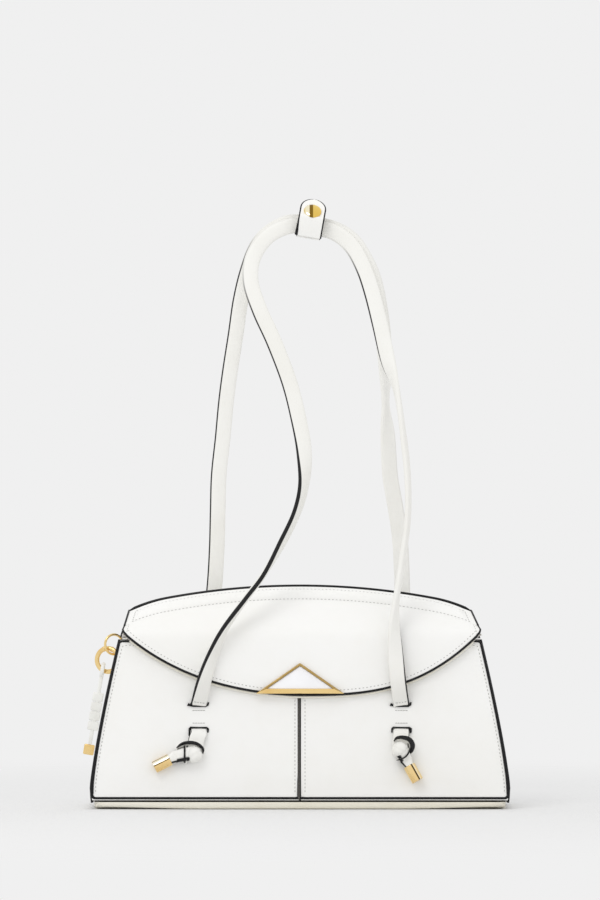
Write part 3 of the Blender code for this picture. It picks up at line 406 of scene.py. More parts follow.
def glossPaint(name, pale, dark, rough):
    paint = Paint(name)
    where = paint.place()
    haze = paint.cloudy(where, 70, 3)
    paint.set("Base Color", paint.blendColour(haze.between(0.3, 0.8), pale, dark))
    paint.set("Roughness", rough + haze * 0.1)
    paint.set("Normal", paint.bump(paint.cloudy(where, 800, 2), 0.00004, 0.3))
    paint.set("Coat Weight", 0.25)
    paint.set("Coat Roughness", 0.15)
    return paint.material


def strapPaint(name, *edge):
    # the straps' leather, which is a little warmer
    return leatherPaint(name, leatherLook["strapWhite"], leatherLook["strapCream"], *edge)


whiteLeather = leatherPaint("whiteLeather", leatherLook["white"], leatherLook["cream"])
strapLeather = strapPaint("strapLeather", 0.14, (0.41, 0.60))
rearStrapLeather = strapPaint("rearStrapLeather", 0.14, (0.40, 1.2))
knotLeather = strapPaint("knotLeather", 0.10)
wrapLeather = strapPaint("wrapLeather", 0.225)
underLeather = strapPaint("underLeather", 0.23)
tailLeather = strapPaint("tailLeather", 0.18)
# the base panel is the white leather painted darker and warmer: painted shade under the bag
shadedBaseLeather = leatherPaint("shadedBaseLeather", leatherLook["shadedBaseCream"], leatherLook["shadedBaseTan"])
plainStrap = strapPaint("plainStrap")
blackEdge = edgePaint("blackEdge")
whiteThread = threadPaint("whiteThread", colour(0.52, 0.52, 0.50), colour(0.36, 0.36, 0.34))
goldMetal = metalPaint("goldMetal", colour(0.93, 0.70, 0.33), colour(0.86, 0.58, 0.22), 0.13)
shadedGold = metalPaint("shadedGold", colour(0.54, 0.38, 0.15), colour(0.42, 0.28, 0.10), 0.2)
# the caps' and the snap's dark and bright bands are painted reflections and highlights
plainCapGold = metalPaint("plainCapGold", colour(0.95, 0.74, 0.38), colour(0.90, 0.63, 0.27), 0.13, 0.0, (
    (0.44, 0.026, colour(0.10, 0.06, 0.015)), (0.40, 0.012, colour(1.0, 0.93, 0.74))))
capGold = metalPaint("capGold", colour(0.95, 0.74, 0.38), colour(0.90, 0.63, 0.27), 0.13, 0.0, (
    (0.592, 0.075, colour(1.0, 0.93, 0.74)), (0.52, 0.016, colour(0.10, 0.06, 0.015)),
    (0.665, 0.02, colour(0.22, 0.14, 0.04))))
snapGold = metalPaint("snapGold", colour(0.96, 0.73, 0.24), colour(0.88, 0.60, 0.14), 0.11, 0.0, (
    (0.20, 0.16, colour(1.0, 0.92, 0.66)), (0.42, 0.12, colour(0.26, 0.15, 0.02))))
steelMetal = metalPaint("steelMetal", colour(0.60, 0.60, 0.62), colour(0.50, 0.50, 0.52), 0.28, 0.1)
liningCloth = clothPaint("liningCloth", colour(0.78, 0.75, 0.70), colour(0.66, 0.63, 0.58), 1100)
# the grey of the stiffening boards, also the centre seam's painted highlight
boardGreyAndSeamHighlight = clothPaint("boardGreyAndSeamHighlight", colour(0.40, 0.38, 0.34), colour(0.30, 0.28, 0.25), 600)
inlayWhite = glossPaint("inlayWhite", colour(0.93, 0.93, 0.95), colour(0.88, 0.88, 0.90), 0.25)
charmWhite = glossPaint("charmWhite", colour(0.86, 0.86, 0.83), colour(0.78, 0.77, 0.73), 0.35)
print("finishes ready")


# body: front halves, back, gussets, base
bodyForm = {
    "bellyHeight": 0.016, "bellyHalfWidth": 0.1503, "footHalfWidth": 0.1488, "topHalfWidth": 0.1305,
    "panelTop": 0.121, "sideCurve": 1.25, "baseHalfDepth": 0.0385, "frontTopDepth": 0.022, "frontCurve": 1.15,
    "ridgeDepth": 0.0056, "crownHeight": 0.1599, "ridgeRise": 0.0147, "ridgeHalfWidth": 0.1236,
    "ridgeCorner": 0.22, "cornerFall": 0.0032, "seamHeight": 0.0067, "pipingRadius": 0.0014, "leather": 0.002,
    "panelInset": 0.0012, "panelFoot": 0.0002, "seamHalf": 0.0007, "cornerRound": 0.0024, "backRound": 0.0009,
    "gussetFold": 0.013, "gussetFoot": 0.005, "gussetEdge": 0.0034, "gussetInset": 0.0018,
    "gussetLeather": 0.0018, "frontSwell": 0.0009, "frontDip": 0.0007, "wander": 0.00035,
    "gussetWander": 0.0007, "sideEdge": 0.002, "footEdge": 0.007, "swellReach": 0.03, "swellRise": 0.02,
    "dipReach": 0.0026, "wanderReach": 0.01, "stitchInset": 0.0042, "normalStep": 0.0003,
}


def halfWidth(z):
    form = bodyForm
    if z < form["bellyHeight"]:
        return mix(form["bellyHalfWidth"], form["footHalfWidth"],
                   ((form["bellyHeight"] - z) / form["bellyHeight"]) ** 2)
    rise = (z - form["bellyHeight"]) / (form["panelTop"] - form["bellyHeight"])
    return mix(form["bellyHalfWidth"], form["topHalfWidth"], rise ** form["sideCurve"])


def frontY(z):
    rise = max(z - bodyForm["seamHeight"], 0) / (bodyForm["panelTop"] - bodyForm["seamHeight"])
    return mix(-bodyForm["baseHalfDepth"], -bodyForm["frontTopDepth"], rise ** bodyForm["frontCurve"])


def backY(z):
    rise = max(z - bodyForm["seamHeight"], 0) / (bodyForm["crownHeight"] - bodyForm["seamHeight"])
    return mix(bodyForm["baseHalfDepth"], bodyForm["ridgeDepth"], rise)


def ridgeZ(share):
    corner = max(abs(share) - 1 + bodyForm["ridgeCorner"], 0) / bodyForm["ridgeCorner"]
    return bodyForm["crownHeight"] - bodyForm["ridgeRise"] * share ** 2 - bodyForm["cornerFall"] * corner ** 2


def backHalfWidth(z):
    if z < bodyForm["panelTop"]:
        return halfWidth(z)
    rise = (z - bodyForm["panelTop"]) / (ridgeZ(1) - bodyForm["panelTop"])
    return mix(bodyForm["topHalfWidth"], bodyForm["ridgeHalfWidth"], min(rise, 1))


def gussetX(y, z):
    low = bodyForm["gussetFoot"]
    rise = (z - low) / (bodyForm["panelTop"] - low)
    middle = (frontY(z) + backY(z)) / 2
    reach = (backY(z) - frontY(z)) / 2 - bodyForm["gussetEdge"]
    across = min(abs(y - middle) / reach, 1)
    return halfWidth(z) - bodyForm["gussetFold"] * rise * (1 - across ** 2) ** 2


def wander(place, scale, seed=0.0):
    return noise.noise(Vector((place.x * scale + seed, place.y * scale, place.z * scale)))


def leatherLift(side, z, edge, topShare, ripple):
    # how far the leather stands out from its flat line: it swells between the seams and dips beside them
    form = bodyForm
    swell = form["frontSwell"] * smooth(side / form["swellReach"])
    swell = swell * smooth((z - form["footEdge"]) / form["swellRise"]) * topShare
    dip = form["frontDip"] * (1 - smooth(edge / form["dipReach"]))
    return swell - dip + form["wander"] * ripple * smooth(edge / form["wanderReach"])


def frontLift(x, z):
    form = bodyForm
    side = halfWidth(z) - form["sideEdge"] - abs(x)
    edge = min(side, z - form["footEdge"], abs(x) - 0.0015, (form["panelTop"] - 0.001 - z))
    return leatherLift(side, z, edge, smooth((0.1 - z) / form["swellReach"] + 0.4),
                       wander(Vector((x, 0, z)), 22))


def frontPoint(x, z, lift=0.0):
    return Vector((x, frontY(z) - frontLift(x, z) - lift, z))


def backLift(x, z):
    side = backHalfWidth(z) - bodyForm["sideEdge"] - abs(x)
    top = ridgeZ(x / max(backHalfWidth(z), 0.01)) - bodyForm["sideEdge"] - z
    edge = min(side, z - bodyForm["footEdge"], top)
    return leatherLift(side, z, edge, smooth(top / 0.04), wander(Vector((x, 0, z)), 20, 7.0))


def backPoint(x, z, lift=0.0):
    return Vector((x, backY(z) + backLift(x, z) + lift, z))


def flipOver(piece):
    inEditMode(piece, selectAll, bpy.ops.mesh.flip_normals)


def faceToward(piece, direction):
    # the side that shows points along this direction
    if sum(face.area * face.normal.dot(direction) for face in piece.data.polygons) < 0:
        flipOver(piece)


def giveWall(piece, thickness, bevel, even, rim=1):
    # the thickness of the leather, inwards; rim is 1 where its cut edge is in the second material
    applyModifier(piece, "SOLIDIFY", thickness=thickness, offset=-1, use_even_offset=even,
                  material_offset_rim=rim, use_quality_normals=True)
    roundEdges(piece, bevel, 2, 50)


def leatherSheet(name, place, columns, rows, direction, thickness, materials):
    # a cut piece of leather: its face, its thickness inwards, and its cut edge in the second material
    piece = surfacePiece(name, place, columns, rows)
    faceToward(piece, direction)
    for material in materials:
        piece.data.materials.append(material)
    giveWall(piece, thickness, 0.0003, True, len(materials) - 1)
    return piece


def shadeSmooth(piece, angle):
    makeActive(piece)
    bpy.ops.object.shade_smooth_by_angle(angle=math.radians(angle))


def settle(piece, body, nodes, angle=45):
    shadeSmooth(piece, angle)
    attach(piece, body)
    if nodes:
        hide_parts(*nodes)


def tubePiece(name, points, radius, material, closed=False, sides=4, widthAt=None):
    # a round bead along these points; widthAt thins or swells it from place to place
    curve = bpy.data.curves.new(name, "CURVE")
    curve.dimensions = "3D"
    curve.bevel_depth = radius
    curve.bevel_resolution = sides
    curve.use_fill_caps = True
    spline = curve.splines.new("POLY")
    spline.points.add(len(points) - 1)
    for target, point in zip(spline.points, points):
        target.co = (point.x, point.y, point.z, 1)
        target.radius = widthAt(point) if widthAt else 1.0
    spline.use_cyclic_u = closed
    piece = bpy.data.objects.new(name, curve)
    bpy.context.scene.collection.objects.link(piece)
    makeActive(piece)
    bpy.ops.object.convert(target="MESH")
    piece = rename(bpy.context.active_object, name)
    paintOnly(piece, material)
    inEditMode(piece, weld, faceOutward)
    return piece


def evenPoints(path, spacing, closed=False):
    # points along a path of (place, normal) pairs, a set distance apart
    pairs = list(path) + ([path[0]] if closed else [])
    lengths = [0.0]
    for before, after in zip(pairs, pairs[1:]):
        lengths.append(lengths[-1] + (after[0] - before[0]).length)
    count = max(int(lengths[-1] / spacing), 1)
    result = []
    index = 0
    for step in range(count):
        target = (step + 0.5) * lengths[-1] / count
        while index < len(lengths) - 2 and lengths[index + 1] < target:
            index += 1
        span = max(lengths[index + 1] - lengths[index], 1e-9)
        share = (target - lengths[index]) / span
        place = pairs[index][0].lerp(pairs[index + 1][0], share)
        normal = pairs[index][1].lerp(pairs[index + 1][1], share).normalized()
        along = (pairs[index + 1][0] - pairs[index][0]).normalized()
        result.append((place, normal, along))
    return result


stitchForm = {
    "pitch": 0.0027, "shortPitch": 0.0018, "length": 0.0019, "halfWidth": 0.0003, "halfHeight": 0.0002,
    "sink": 0.00006, "taper": 0.45, "dive": 1.3,
}


def modelStitch():
    # one stitch: a short thread that dives into the leather at both ends
    form = stitchForm
    stitch = newMesh(bpy.ops.mesh.primitive_cylinder_add, vertices=6, radius=1, depth=2,
                     end_fill_type="TRIFAN")
    inEditMode(stitch, selectAll, lambda: bpy.ops.mesh.subdivide(number_cuts=1))

    def place(point):
        end = abs(point.z)
        taper = 1 - form["taper"] * end ** 4
        high = point.y * form["halfHeight"] * taper - form["halfHeight"] * form["dive"] * end ** 3
        return Vector((point.x * form["halfWidth"] * taper, high, point.z * form["length"] / 2))

    reshape(stitch, place)
    mesh = stitch.data.copy()
    bpy.data.objects.remove(stitch)
    return mesh


stitchMesh = modelStitch()


def stitchRow(name, path, body, closed=False, pitch=stitchForm["pitch"], blended=None):
    # copies of the one stitch, a thread's height above the leather
    places = evenPoints(path, pitch, closed)
    corners, faces = [], []
    modelPoints = [vert.co.copy() for vert in stitchMesh.vertices]
    modelFaces = [tuple(face.vertices) for face in stitchMesh.polygons]
    for place, normal, along in places:
        side = normal.cross(along).normalized()
        rise = along.cross(side).normalized()
        start = len(corners)
        for point in modelPoints:
            corners.append(place + side * point.x + rise * (point.y + stitchForm["sink"]) + along * point.z)
        faces += [tuple(index + start for index in face) for face in modelFaces]
    mesh = bpy.data.meshes.new(name)
    mesh.from_pydata(corners, [], faces)
    piece = bpy.data.objects.new(name, mesh)
    bpy.context.scene.collection.objects.link(piece)
    piece.data.materials.append(whiteThread)
    inEditMode(piece, faceOutward)
    makeActive(piece)
    bpy.ops.object.shade_smooth()
    if blended:
        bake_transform(piece)
    else:
        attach(piece, body)
    return piece


def along2d(points, step=0.002):
    # the same broken line with points close together
    result = []
    for (x0, z0), (x1, z1) in zip(points, points[1:]):
        count = max(int(math.hypot(x1 - x0, z1 - z0) / step), 1)
        result += [(mix(x0, x1, i / count), mix(z0, z1, i / count)) for i in range(count)]
    return result + [points[-1]]


def outlinePoints(inset, topZ, widthAt, radius, steps=6):
    # right half of a panel's outline, from the bottom middle up to the top corner
    low = bodyForm["seamHeight"] + inset
    points = [(0.0, low)]
    turn = max(radius, 0.0004)
    cornerX = widthAt(low + turn) - inset - turn
    for step in range(steps + 1):
        angle = step / steps * math.pi / 2
        points.append((cornerX + turn * math.sin(angle), low + turn - turn * math.cos(angle)))
    high = topZ - inset - turn
    for step in range(1, 24):
        z = mix(low + turn, high, step / 24)
        points.append((widthAt(z) - inset, z))
    headX = widthAt(high) - inset - turn
    for step in range(steps + 1):
        angle = step / steps * math.pi / 2
        points.append((headX + turn * math.cos(angle), high + turn * math.sin(angle)))
    return points


slotForm = {
    "offset": 0.0725, "halfWidth": 0.0061, "halfHeight": 0.0011, "spacing": 0.0183, "belowFlap": 0.0148,
    "cutDepth": 0.006, "cutRound": 0.0009,
}
flapCut = {
    "halfWidth": 0.1282, "middleZ": 0.0818, "cornerZ": 0.1266, "leftRise": 0.0026, "cornerRise": 0.0022,
    "cornerFrom": 0.97, "cornerSpan": 0.03,
}


def flapLowZ(share):
    # the left half was cut a little higher than the right one
    left = clamp(-share)
    rise = flapCut["leftRise"]
    leftRise = rise * math.sin(math.pi * left) ** 1.5 + rise * math.sin(math.pi * left ** 2.2)
    corner = flapCut["cornerRise"] * clamp((abs(share) - flapCut["cornerFrom"]) / flapCut["cornerSpan"]) ** 2
    return mix(flapCut["middleZ"], flapCut["cornerZ"], abs(share) ** 3) + leftRise + corner


upperSlotZ = flapLowZ(slotForm["offset"] / flapCut["halfWidth"]) - slotForm["belowFlap"]
slotMiddleZ = upperSlotZ - slotForm["spacing"] / 2


def uprightFrame(depth, along, x, z):
    # a frame that stands on a wall whose place is depth(z)
    low, high = [Vector((x, depth(z + step), z + step))
                 for step in (-bodyForm["normalStep"], bodyForm["normalStep"])]
    return frameFrom((low + high) / 2, Vector((along, 0, 0)), high - low)


def wallFrame(face, x, z):
    return uprightFrame(frontY, 1, x, z) if face == "front" else uprightFrame(backY, -1, x, z)


def cutSlots(piece, face, sides):
    # narrow slots with rounded ends, cut through the leather
    for side in sides:
        middle = wallFrame(face, side * slotForm["offset"], slotMiddleZ)
        for rise in (slotForm["spacing"] / 2, -slotForm["spacing"] / 2):
            cutter = newMesh(bpy.ops.mesh.primitive_cube_add, size=2)
            size = (slotForm["halfWidth"], slotForm["halfHeight"], slotForm["cutDepth"], 1)
            cutter.data.transform(Matrix.Diagonal(size))
            roundEdges(cutter, slotForm["cutRound"], 3)
            cutter.data.transform(middle @ Matrix.Translation((0, rise, 0)))
            applyModifier(piece, "BOOLEAN", operation="DIFFERENCE", solver="EXACT", object=cutter)
            bpy.data.objects.remove(cutter)


def buildPanels():
    form = bodyForm
    top = form["panelTop"] - form["panelInset"]
    foot = form["seamHeight"] - form["panelFoot"]
    for side, name in ((-1, "frontLeft"), (1, "frontRight")):
        def place(across, up):
            z = mix(foot, top, up)
            x = side * mix(form["seamHalf"], halfWidth(z) - form["panelInset"], across)
            return frontPoint(x, z)

        panel = leatherSheet(name, place, 110, 84, Vector((0, -1, 0)), form["leather"], [whiteLeather])
        cutSlots(panel, "front", [side])
        settle(panel, "bag_body", [f"front_panel_{'left' if side < 0 else 'right'}"])

    def backPlace(across, up):
        share = 1 - 2 * across
        z = mix(foot, ridgeZ(share) - form["panelInset"], up)
        return backPoint(share * (backHalfWidth(z) - form["panelInset"]), z)

    back = leatherSheet("backPanel", backPlace, 200, 110, Vector((0, 1, 0)), form["leather"], [whiteLeather])
    cutSlots(back, "back", [-1, 1])
    settle(back, "bag_body", ["back_panel"])
    for side, name in ((-1, "gussetLeft"), (1, "gussetRight")):
        def gussetPlace(across, up):
            z = mix(0.0046, form["panelTop"], up)
            front, rear = frontY(z) + form["gussetInset"], backY(z) - form["gussetInset"]
            share = math.sin((2 * across - 1) * math.pi / 2)
            y = mix(front, rear, (1 + share) / 2)
            fold = smooth((1 - abs(share)) / 0.4)
            ripple = form["gussetWander"] * wander(Vector((y, 0, z)), 38, 3.0 + side) * fold
            ripple = ripple * smooth((z - 0.01) / 0.02)
            return Vector((side * (gussetX(y, z) - ripple), y, z))

        gusset = leatherSheet(name, gussetPlace, 44, 70, Vector((side, 0, 0)), form["gussetLeather"],
                              [whiteLeather, blackEdge])
        settle(gusset, "bag_body", [f"{'left' if side < 0 else 'right'}_gusset"])


baseForm = {
    "height": 0.0052, "corner": 0.006, "sideInset": 0.0014, "faceInset": 0.0002, "wall": 0.0018,
    "liftLow": 0.0003, "liftSide": 0.0015, "liftFrom": 0.07, "liftSpan": 0.08, "frontFrom": 0.026,
    "frontSpan": 0.01,
}


def buildBase():
    form = baseForm

    def outline(around, half, deep, corner):
        # one turn of a rectangle with round corners
        long, short = 2 * (half - corner), 2 * (deep - corner)
        quarter = corner * math.pi / 2
        total = 2 * (long + short) + 4 * quarter
        run = (around % 1.0) * total
        legs = [(long, (-half + corner, -deep), (1, 0), 0), (short, (half, -deep + corner), (0, 1), 1),
                (long, (half - corner, deep), (-1, 0), 2), (short, (-half, deep - corner), (0, -1), 3)]
        for length, start, way, turn in legs:
            if run <= length:
                return start[0] + way[0] * run, start[1] + way[1] * run
            run -= length
            if run <= quarter:
                angle = run / corner + turn * math.pi / 2
                centre = ((half - corner) * (1, 1, -1, -1)[turn], (deep - corner) * (-1, 1, 1, -1)[turn])
                return centre[0] + corner * math.sin(angle), centre[1] - corner * math.cos(angle)
            run -= quarter
        return -half + corner, -deep

    profile = [(0.0, 0.0), (0.35, 0.0), (0.75, 0.0), (0.93, 0.0), (0.965, 0.0002), (0.985, 0.0008),
               (0.995, 0.0018),
               (1.0, 0.0032), (1.0, form["height"])]

    def place(around, up):
        step = up * (len(profile) - 1)
        index = min(int(step), len(profile) - 2)
        share, z = [mix(profile[index][k], profile[index + 1][k], step - index) for k in (0, 1)]
        inset = (1 - share) * bodyForm["baseHalfDepth"]
        half = bodyForm["footHalfWidth"] - form["sideInset"] - inset
        deep = bodyForm["baseHalfDepth"] - form["faceInset"] - inset
        x, y = outline(around, max(half, 0.002), max(deep, 0.0005), max(form["corner"] - inset * 0.1, 0.0003))
        # the front edge stands a little off the floor, more so at its ends
        lift = form["liftLow"] + form["liftSide"] * smooth((abs(x) - form["liftFrom"]) / form["liftSpan"])
        lift = lift * smooth((-y - form["frontFrom"]) / form["frontSpan"])
        return Vector((x, y, mix(lift, form["height"], z / form["height"])))

    base = surfacePiece("basePanel", place, 96, 40, closed=True)
    inEditMode(base, lambda: selectEdgeLoopAt(base, 0.0005), bpy.ops.mesh.edge_face_add)
    inEditMode(base, faceOutward)
    faceToward(base, Vector((0, 0, -1)))
    base.data.materials.append(shadedBaseLeather)
    applyModifier(base, "SOLIDIFY", thickness=form["wall"], offset=-1, use_quality_normals=True)
    settle(base, "bag_body", ["base_panel"])


def selectEdgeLoopAt(piece, height):
    # the open edges below this height
    bpy.ops.mesh.select_all(action="DESELECT")
    bpy.ops.object.mode_set(mode="OBJECT")
    counts = {}
    for face in piece.data.polygons:
        for key in face.edge_keys:
            counts[key] = counts.get(key, 0) + 1
    for edge in piece.data.edges:
        ends = [piece.data.vertices[index].co.z for index in edge.vertices]
        edge.select = counts.get(edge.key, 0) == 1 and max(ends) < height
    bpy.ops.object.mode_set(mode="EDIT")


liningForm = {
    "foot": 0.0050, "belowTop": 0.0020, "floorShare": 0.12, "floorRise": 0.04, "sideGap": 0.0042,
    "lowGap": 0.0046, "highGap": 0.0032, "cloth": 0.0007, "ripple": 0.0007, "wallColumns": 60,
    "sideColumns": 24, "facingBelow": 0.003, "facingInset": 0.0030, "facingDepth": 0.0026,
    "facingCloth": 0.0008,
}


def buildLining():
    form = liningForm
    floor = form["floorShare"]
    wall, side = form["wallColumns"], form["sideColumns"]
    total = 2 * (wall + side)

    def place(around, up):
        # the pouch rises from the middle of its floor, out to its walls and up them
        climb = smooth(up / floor) * form["floorRise"]
        if up >= floor:
            climb = mix(form["floorRise"], 1, (up - floor) / (1 - floor))
        z = mix(form["foot"], bodyForm["panelTop"] - form["belowTop"], climb)
        reach = 1.0 if up > floor else max(up / floor, 0.03)
        inset = mix(form["lowGap"], form["highGap"], (z / bodyForm["panelTop"]) ** 3)
        front, rear = frontY(z) + inset, backY(z) - inset
        index = around * total
        if index <= wall:
            half = gussetX(front, z) - form["sideGap"]
            x, y = mix(-half, half, index / wall), front
        elif index <= wall + side:
            y = mix(front, rear, (index - wall) / side)
            x = gussetX(y, z) - form["sideGap"]
        elif index <= 2 * wall + side:
            half = gussetX(rear, z) - form["sideGap"]
            x, y = mix(half, -half, (index - wall - side) / wall), rear
        else:
            y = mix(rear, front, (index - 2 * wall - side) / side)
            x = -(gussetX(y, z) - form["sideGap"])
        middle = (front + rear) / 2
        ripple = form["ripple"] * wander(Vector((x, y, z)), 30, 5.0) * smooth((z - 0.01) / 0.02)
        return Vector((x * reach, middle + (y - middle) * reach * (1 - ripple / 0.02), z))

    pouch = surfacePiece("liningPouch", place, total, 46, closed=True)
    faceToward(pouch, Vector((0, 0, 1)))
    pouch.data.materials.append(liningCloth)
    applyModifier(pouch, "SOLIDIFY", thickness=form["cloth"], offset=0)
    settle(pouch, "bag_body", ["lining"])

    def facing(across, up):
        share = 1 - 2 * across
        z = mix(bodyForm["panelTop"] - form["facingBelow"], ridgeZ(share) - form["facingInset"], up)
        return Vector((share * (backHalfWidth(z) - form["facingInset"]), backY(z) - form["facingDepth"], z))

    strip = leatherSheet("mouthFacing", facing, 90, 12, Vector((0, -1, 0)), form["facingCloth"],
                         [liningCloth])
    settle(strip, "bag_body", ["back_facing"])


def backOutline(inset, corner):
    # right half of the back's outline, from the bottom middle up, then along the ridge to its middle
    half = outlinePoints(inset, ridgeZ(1), backHalfWidth, corner)
    ridge = bodyForm["ridgeHalfWidth"]
    for share in spread(half[-1][0] / ridge, 0, 40)[1:]:
        half.append((share * ridge, ridgeZ(share) - inset))
    return along2d(half)


def buildPiping():
    # glossy painted seams: round the front, round the back and over the ridge, and down the middle
    form = bodyForm
    radius = form["pipingRadius"]
    half = outlinePoints(radius, form["panelTop"], halfWidth, form["cornerRound"])
    half += [(0.0, form["panelTop"] - radius)]
    loop = mirrored([Vector((x, frontY(z) + radius * 0.55, z)) for x, z in along2d(half)])

    def pipingWidth(point):
        # thin along the top, thick where the sides reach the base
        if point.z > form["panelTop"] - 0.004:
            return 0.62
        beside = smooth((point.z - form["seamHeight"] - 0.002) / 0.006)
        return mix(0.72, mix(1.3, 0.66, (point.z / form["panelTop"]) ** 0.5), beside)

    front = tubePiece("frontPiping", loop, radius, blackEdge, True, 5, pipingWidth)
    settle(front, "bag_body", ["front_seam_edge"])
    outline = backOutline(radius, form["backRound"])
    loop = mirrored([Vector((x, backY(z) - radius * 0.8, z)) for x, z in outline])
    back = tubePiece("backPiping", loop, radius, blackEdge, True)
    settle(back, "bag_body", ["back_seam_edge"])
    beads = []
    # two black beads, and between them a thin grey bead, set back: a painted highlight on the glossy seam
    for shift, depth, width, paint in ((-0.0013, 0.0003, 0.00072, blackEdge),
                                       (-0.0003, 0.0003, 0.00072, blackEdge),
                                       (-0.0007, -0.0002, 0.0002, boardGreyAndSeamHighlight)):
        heights = spread(form["seamHeight"] + 0.001, form["panelTop"] - 0.001, 40)
        line = [Vector((shift, frontY(z) + depth, z)) for z in heights]
        beads.append(tubePiece("seamBead", line, width, paint))
    seam = joinPieces("centreSeam", beads)
    settle(seam, "bag_body", ["centre_seam_edge"])


def surfacePath(pairs, pointAt, lift=0.0):
    # places and outward normals along a line drawn on the front or the back
    path = []
    for x, z in pairs:
        here = pointAt(x, z, lift)
        beside = pointAt(x + 0.0005, z, lift) - here
        above = pointAt(x, z + 0.0005, lift) - here
        normal = beside.cross(above).normalized()
        if pointAt is backPoint:
            normal.negate()
        path.append((here, normal))
    return path


def buildBodyStitches():
    form = bodyForm
    inset = form["stitchInset"]
    half = outlinePoints(inset, form["panelTop"], halfWidth, form["cornerRound"])
    half += [(0.004, form["panelTop"] - inset)]
    half = [(max(x, 0.004), z) for x, z in half if z > form["seamHeight"] + inset + 0.001]
    for side, name in ((-1, "frontStitchLeft"), (1, "frontStitchRight")):
        pairs = [(side * x, z) for x, z in along2d(half)]
        stitchRow(name, surfacePath(pairs, frontPoint), "bag_body")
        heights = spread(form["seamHeight"] + 0.005, form["panelTop"] - 0.005, 60)
        column = [(side * 0.0036, z) for z in heights]
        stitchRow(f"centre{'Left' if side < 0 else 'Right'}", surfacePath(column, frontPoint), "bag_body")
    right = backOutline(inset, form["cornerRound"])
    loop = right + [(-x, z) for x, z in reversed(right[1:-1])]
    stitchRow("backStitches", surfacePath(loop, backPoint), "bag_body", closed=True)


buildPanels()
buildBase()
buildLining()
buildPiping()
buildBodyStitches()
print("body built")


# flap: outer leather, core, lining, edge, stitches and the padded rim along the ridge
flapForm = {
    "halfWidth": flapCut["halfWidth"], "cornerZ": flapCut["cornerZ"],
    "shoulderZ": 0.127, "shoulderRound": 0.004, "clearance": 0.0014,
    "depth": 0.0041, "rimDrop": 0.0105, "outer": 0.0014, "swell": 0.0007, "beadRadius": 0.0009,
    "lean": 0.0013, "stitchInset": 0.0029, "hingeStart": (0, 0, 0.1505), "hingeEnd": (0, 0, 0.1385),
}
flapBend = ("bag_body", "flap", flapForm["hingeStart"], flapForm["hingeEnd"])


def flapY(share, z):
    startZ = ridgeZ(share)
    startY = backY(startZ) - 0.0031
    away = flapForm["depth"] + flapForm["clearance"]
    wall = frontY(z) - away
    shoulder = frontY(flapForm["shoulderZ"]) - away
    slope = mix(shoulder, startY, (z - flapForm["shoulderZ"]) / (startZ - flapForm["shoulderZ"]))
    return (wall + slope + math.hypot(wall - slope, flapForm["shoulderRound"])) / 2


def flapSideX(z):
    side = clamp((ridgeZ(1) - z) / (ridgeZ(1) - flapForm["cornerZ"]))
    return mix(bodyForm["ridgeHalfWidth"] - 0.0008, flapForm["halfWidth"], side)


def flapX(share, z):
    # the flap was sewn on a little to the right, which shows at its corners
    low = clamp((ridgeZ(1) - z) / (ridgeZ(1) - flapForm["cornerZ"]))
    return share * flapSideX(z) + flapForm["lean"] * low * abs(share) ** 3


def flapPlain(share, drop, sideInset=0.0, lowInset=0.0):
    inner = share * (1 - sideInset / flapForm["halfWidth"])
    topZ = ridgeZ(inner) - flapForm["rimDrop"]
    z = mix(topZ, flapLowZ(inner) + lowInset, drop)
    return Vector((flapX(inner, z), flapY(inner, z), z))


def flapPoint(share, drop, depth=0.0, *insets):
    # a point of the flap, this far below its outer face
    here = flapPlain(share, drop, *insets)
    beside = flapPlain(min(share + 0.01, 1), drop, *insets) - flapPlain(max(share - 0.01, -1), drop, *insets)
    above = flapPlain(share, max(drop - 0.01, 0), *insets) - flapPlain(share, min(drop + 0.01, 1), *insets)
    normal = beside.cross(above).normalized()
    topGap = ridgeZ(share) - flapForm["rimDrop"] - here.z
    border = min(here.z - flapLowZ(share), (1 - abs(share)) * flapForm["halfWidth"])
    edge = min(border, max(topGap, 0) * 4)
    swell = flapForm["swell"] * smooth(edge / 0.012) - 0.0003 * (1 - smooth(border / 0.003))
    swell += 0.0003 * wander(here, 24, 11.0) * smooth(edge / 0.01)
    return here + normal * ((swell if depth == 0 else 0) - depth), normal


def flapSheet(name, depth, sideInset, lowInset, thickness, materials, nodes, columns=150, rows=56):
    def place(across, up):
        share = math.sin((2 * across - 1) * math.pi / 2)
        return flapPoint(share, 1 - up, depth, sideInset, lowInset)[0]

    sheet = leatherSheet(name, place, columns, rows, Vector((0, -1, 0)), thickness, materials)
    shadeSmooth(sheet, 45)
    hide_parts(*nodes)
    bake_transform(sheet)


def flapEdgePath(inset):
    # the flap's outline a set distance in from its edge, from the left top corner round to the right one
    path = []
    for step in range(12):
        z = mix(ridgeZ(1) - 0.0108, flapLowZ(1) + 0.0002, step / 12)
        drop = (ridgeZ(1) - flapForm["rimDrop"] - z) / (ridgeZ(1) - flapForm["rimDrop"] - flapLowZ(1))
        path.append((-1 + inset / flapForm["halfWidth"], clamp(drop)))
    shares = [math.sin(turn * math.pi / 2) * (1 - inset / flapForm["halfWidth"])
              for turn in spread(-1, 1, 120)]
    for share in shares:
        span = ridgeZ(share) - flapForm["rimDrop"] - flapLowZ(share)
        slope = abs(3 * (flapCut["cornerZ"] - flapCut["middleZ"]) * abs(share) ** 2 / flapForm["halfWidth"])
        rise = inset * math.sqrt(1 + slope * slope)
        path.append((share, clamp(1 - rise / span)))
    right = [(-share, drop) for share, drop in reversed(path[:12])]
    return path + right


def rimFrame(share, drop):
    z = ridgeZ(share) - drop
    step = bodyForm["normalStep"]
    slope = Vector((0, flapY(share, z + step) - flapY(share, z - step), 0.0006)).normalized()
    outward = Vector((1, 0, 0)).cross(slope)
    return Vector((flapX(share, z) - share * 0.0006, flapY(share, z), z)), outward


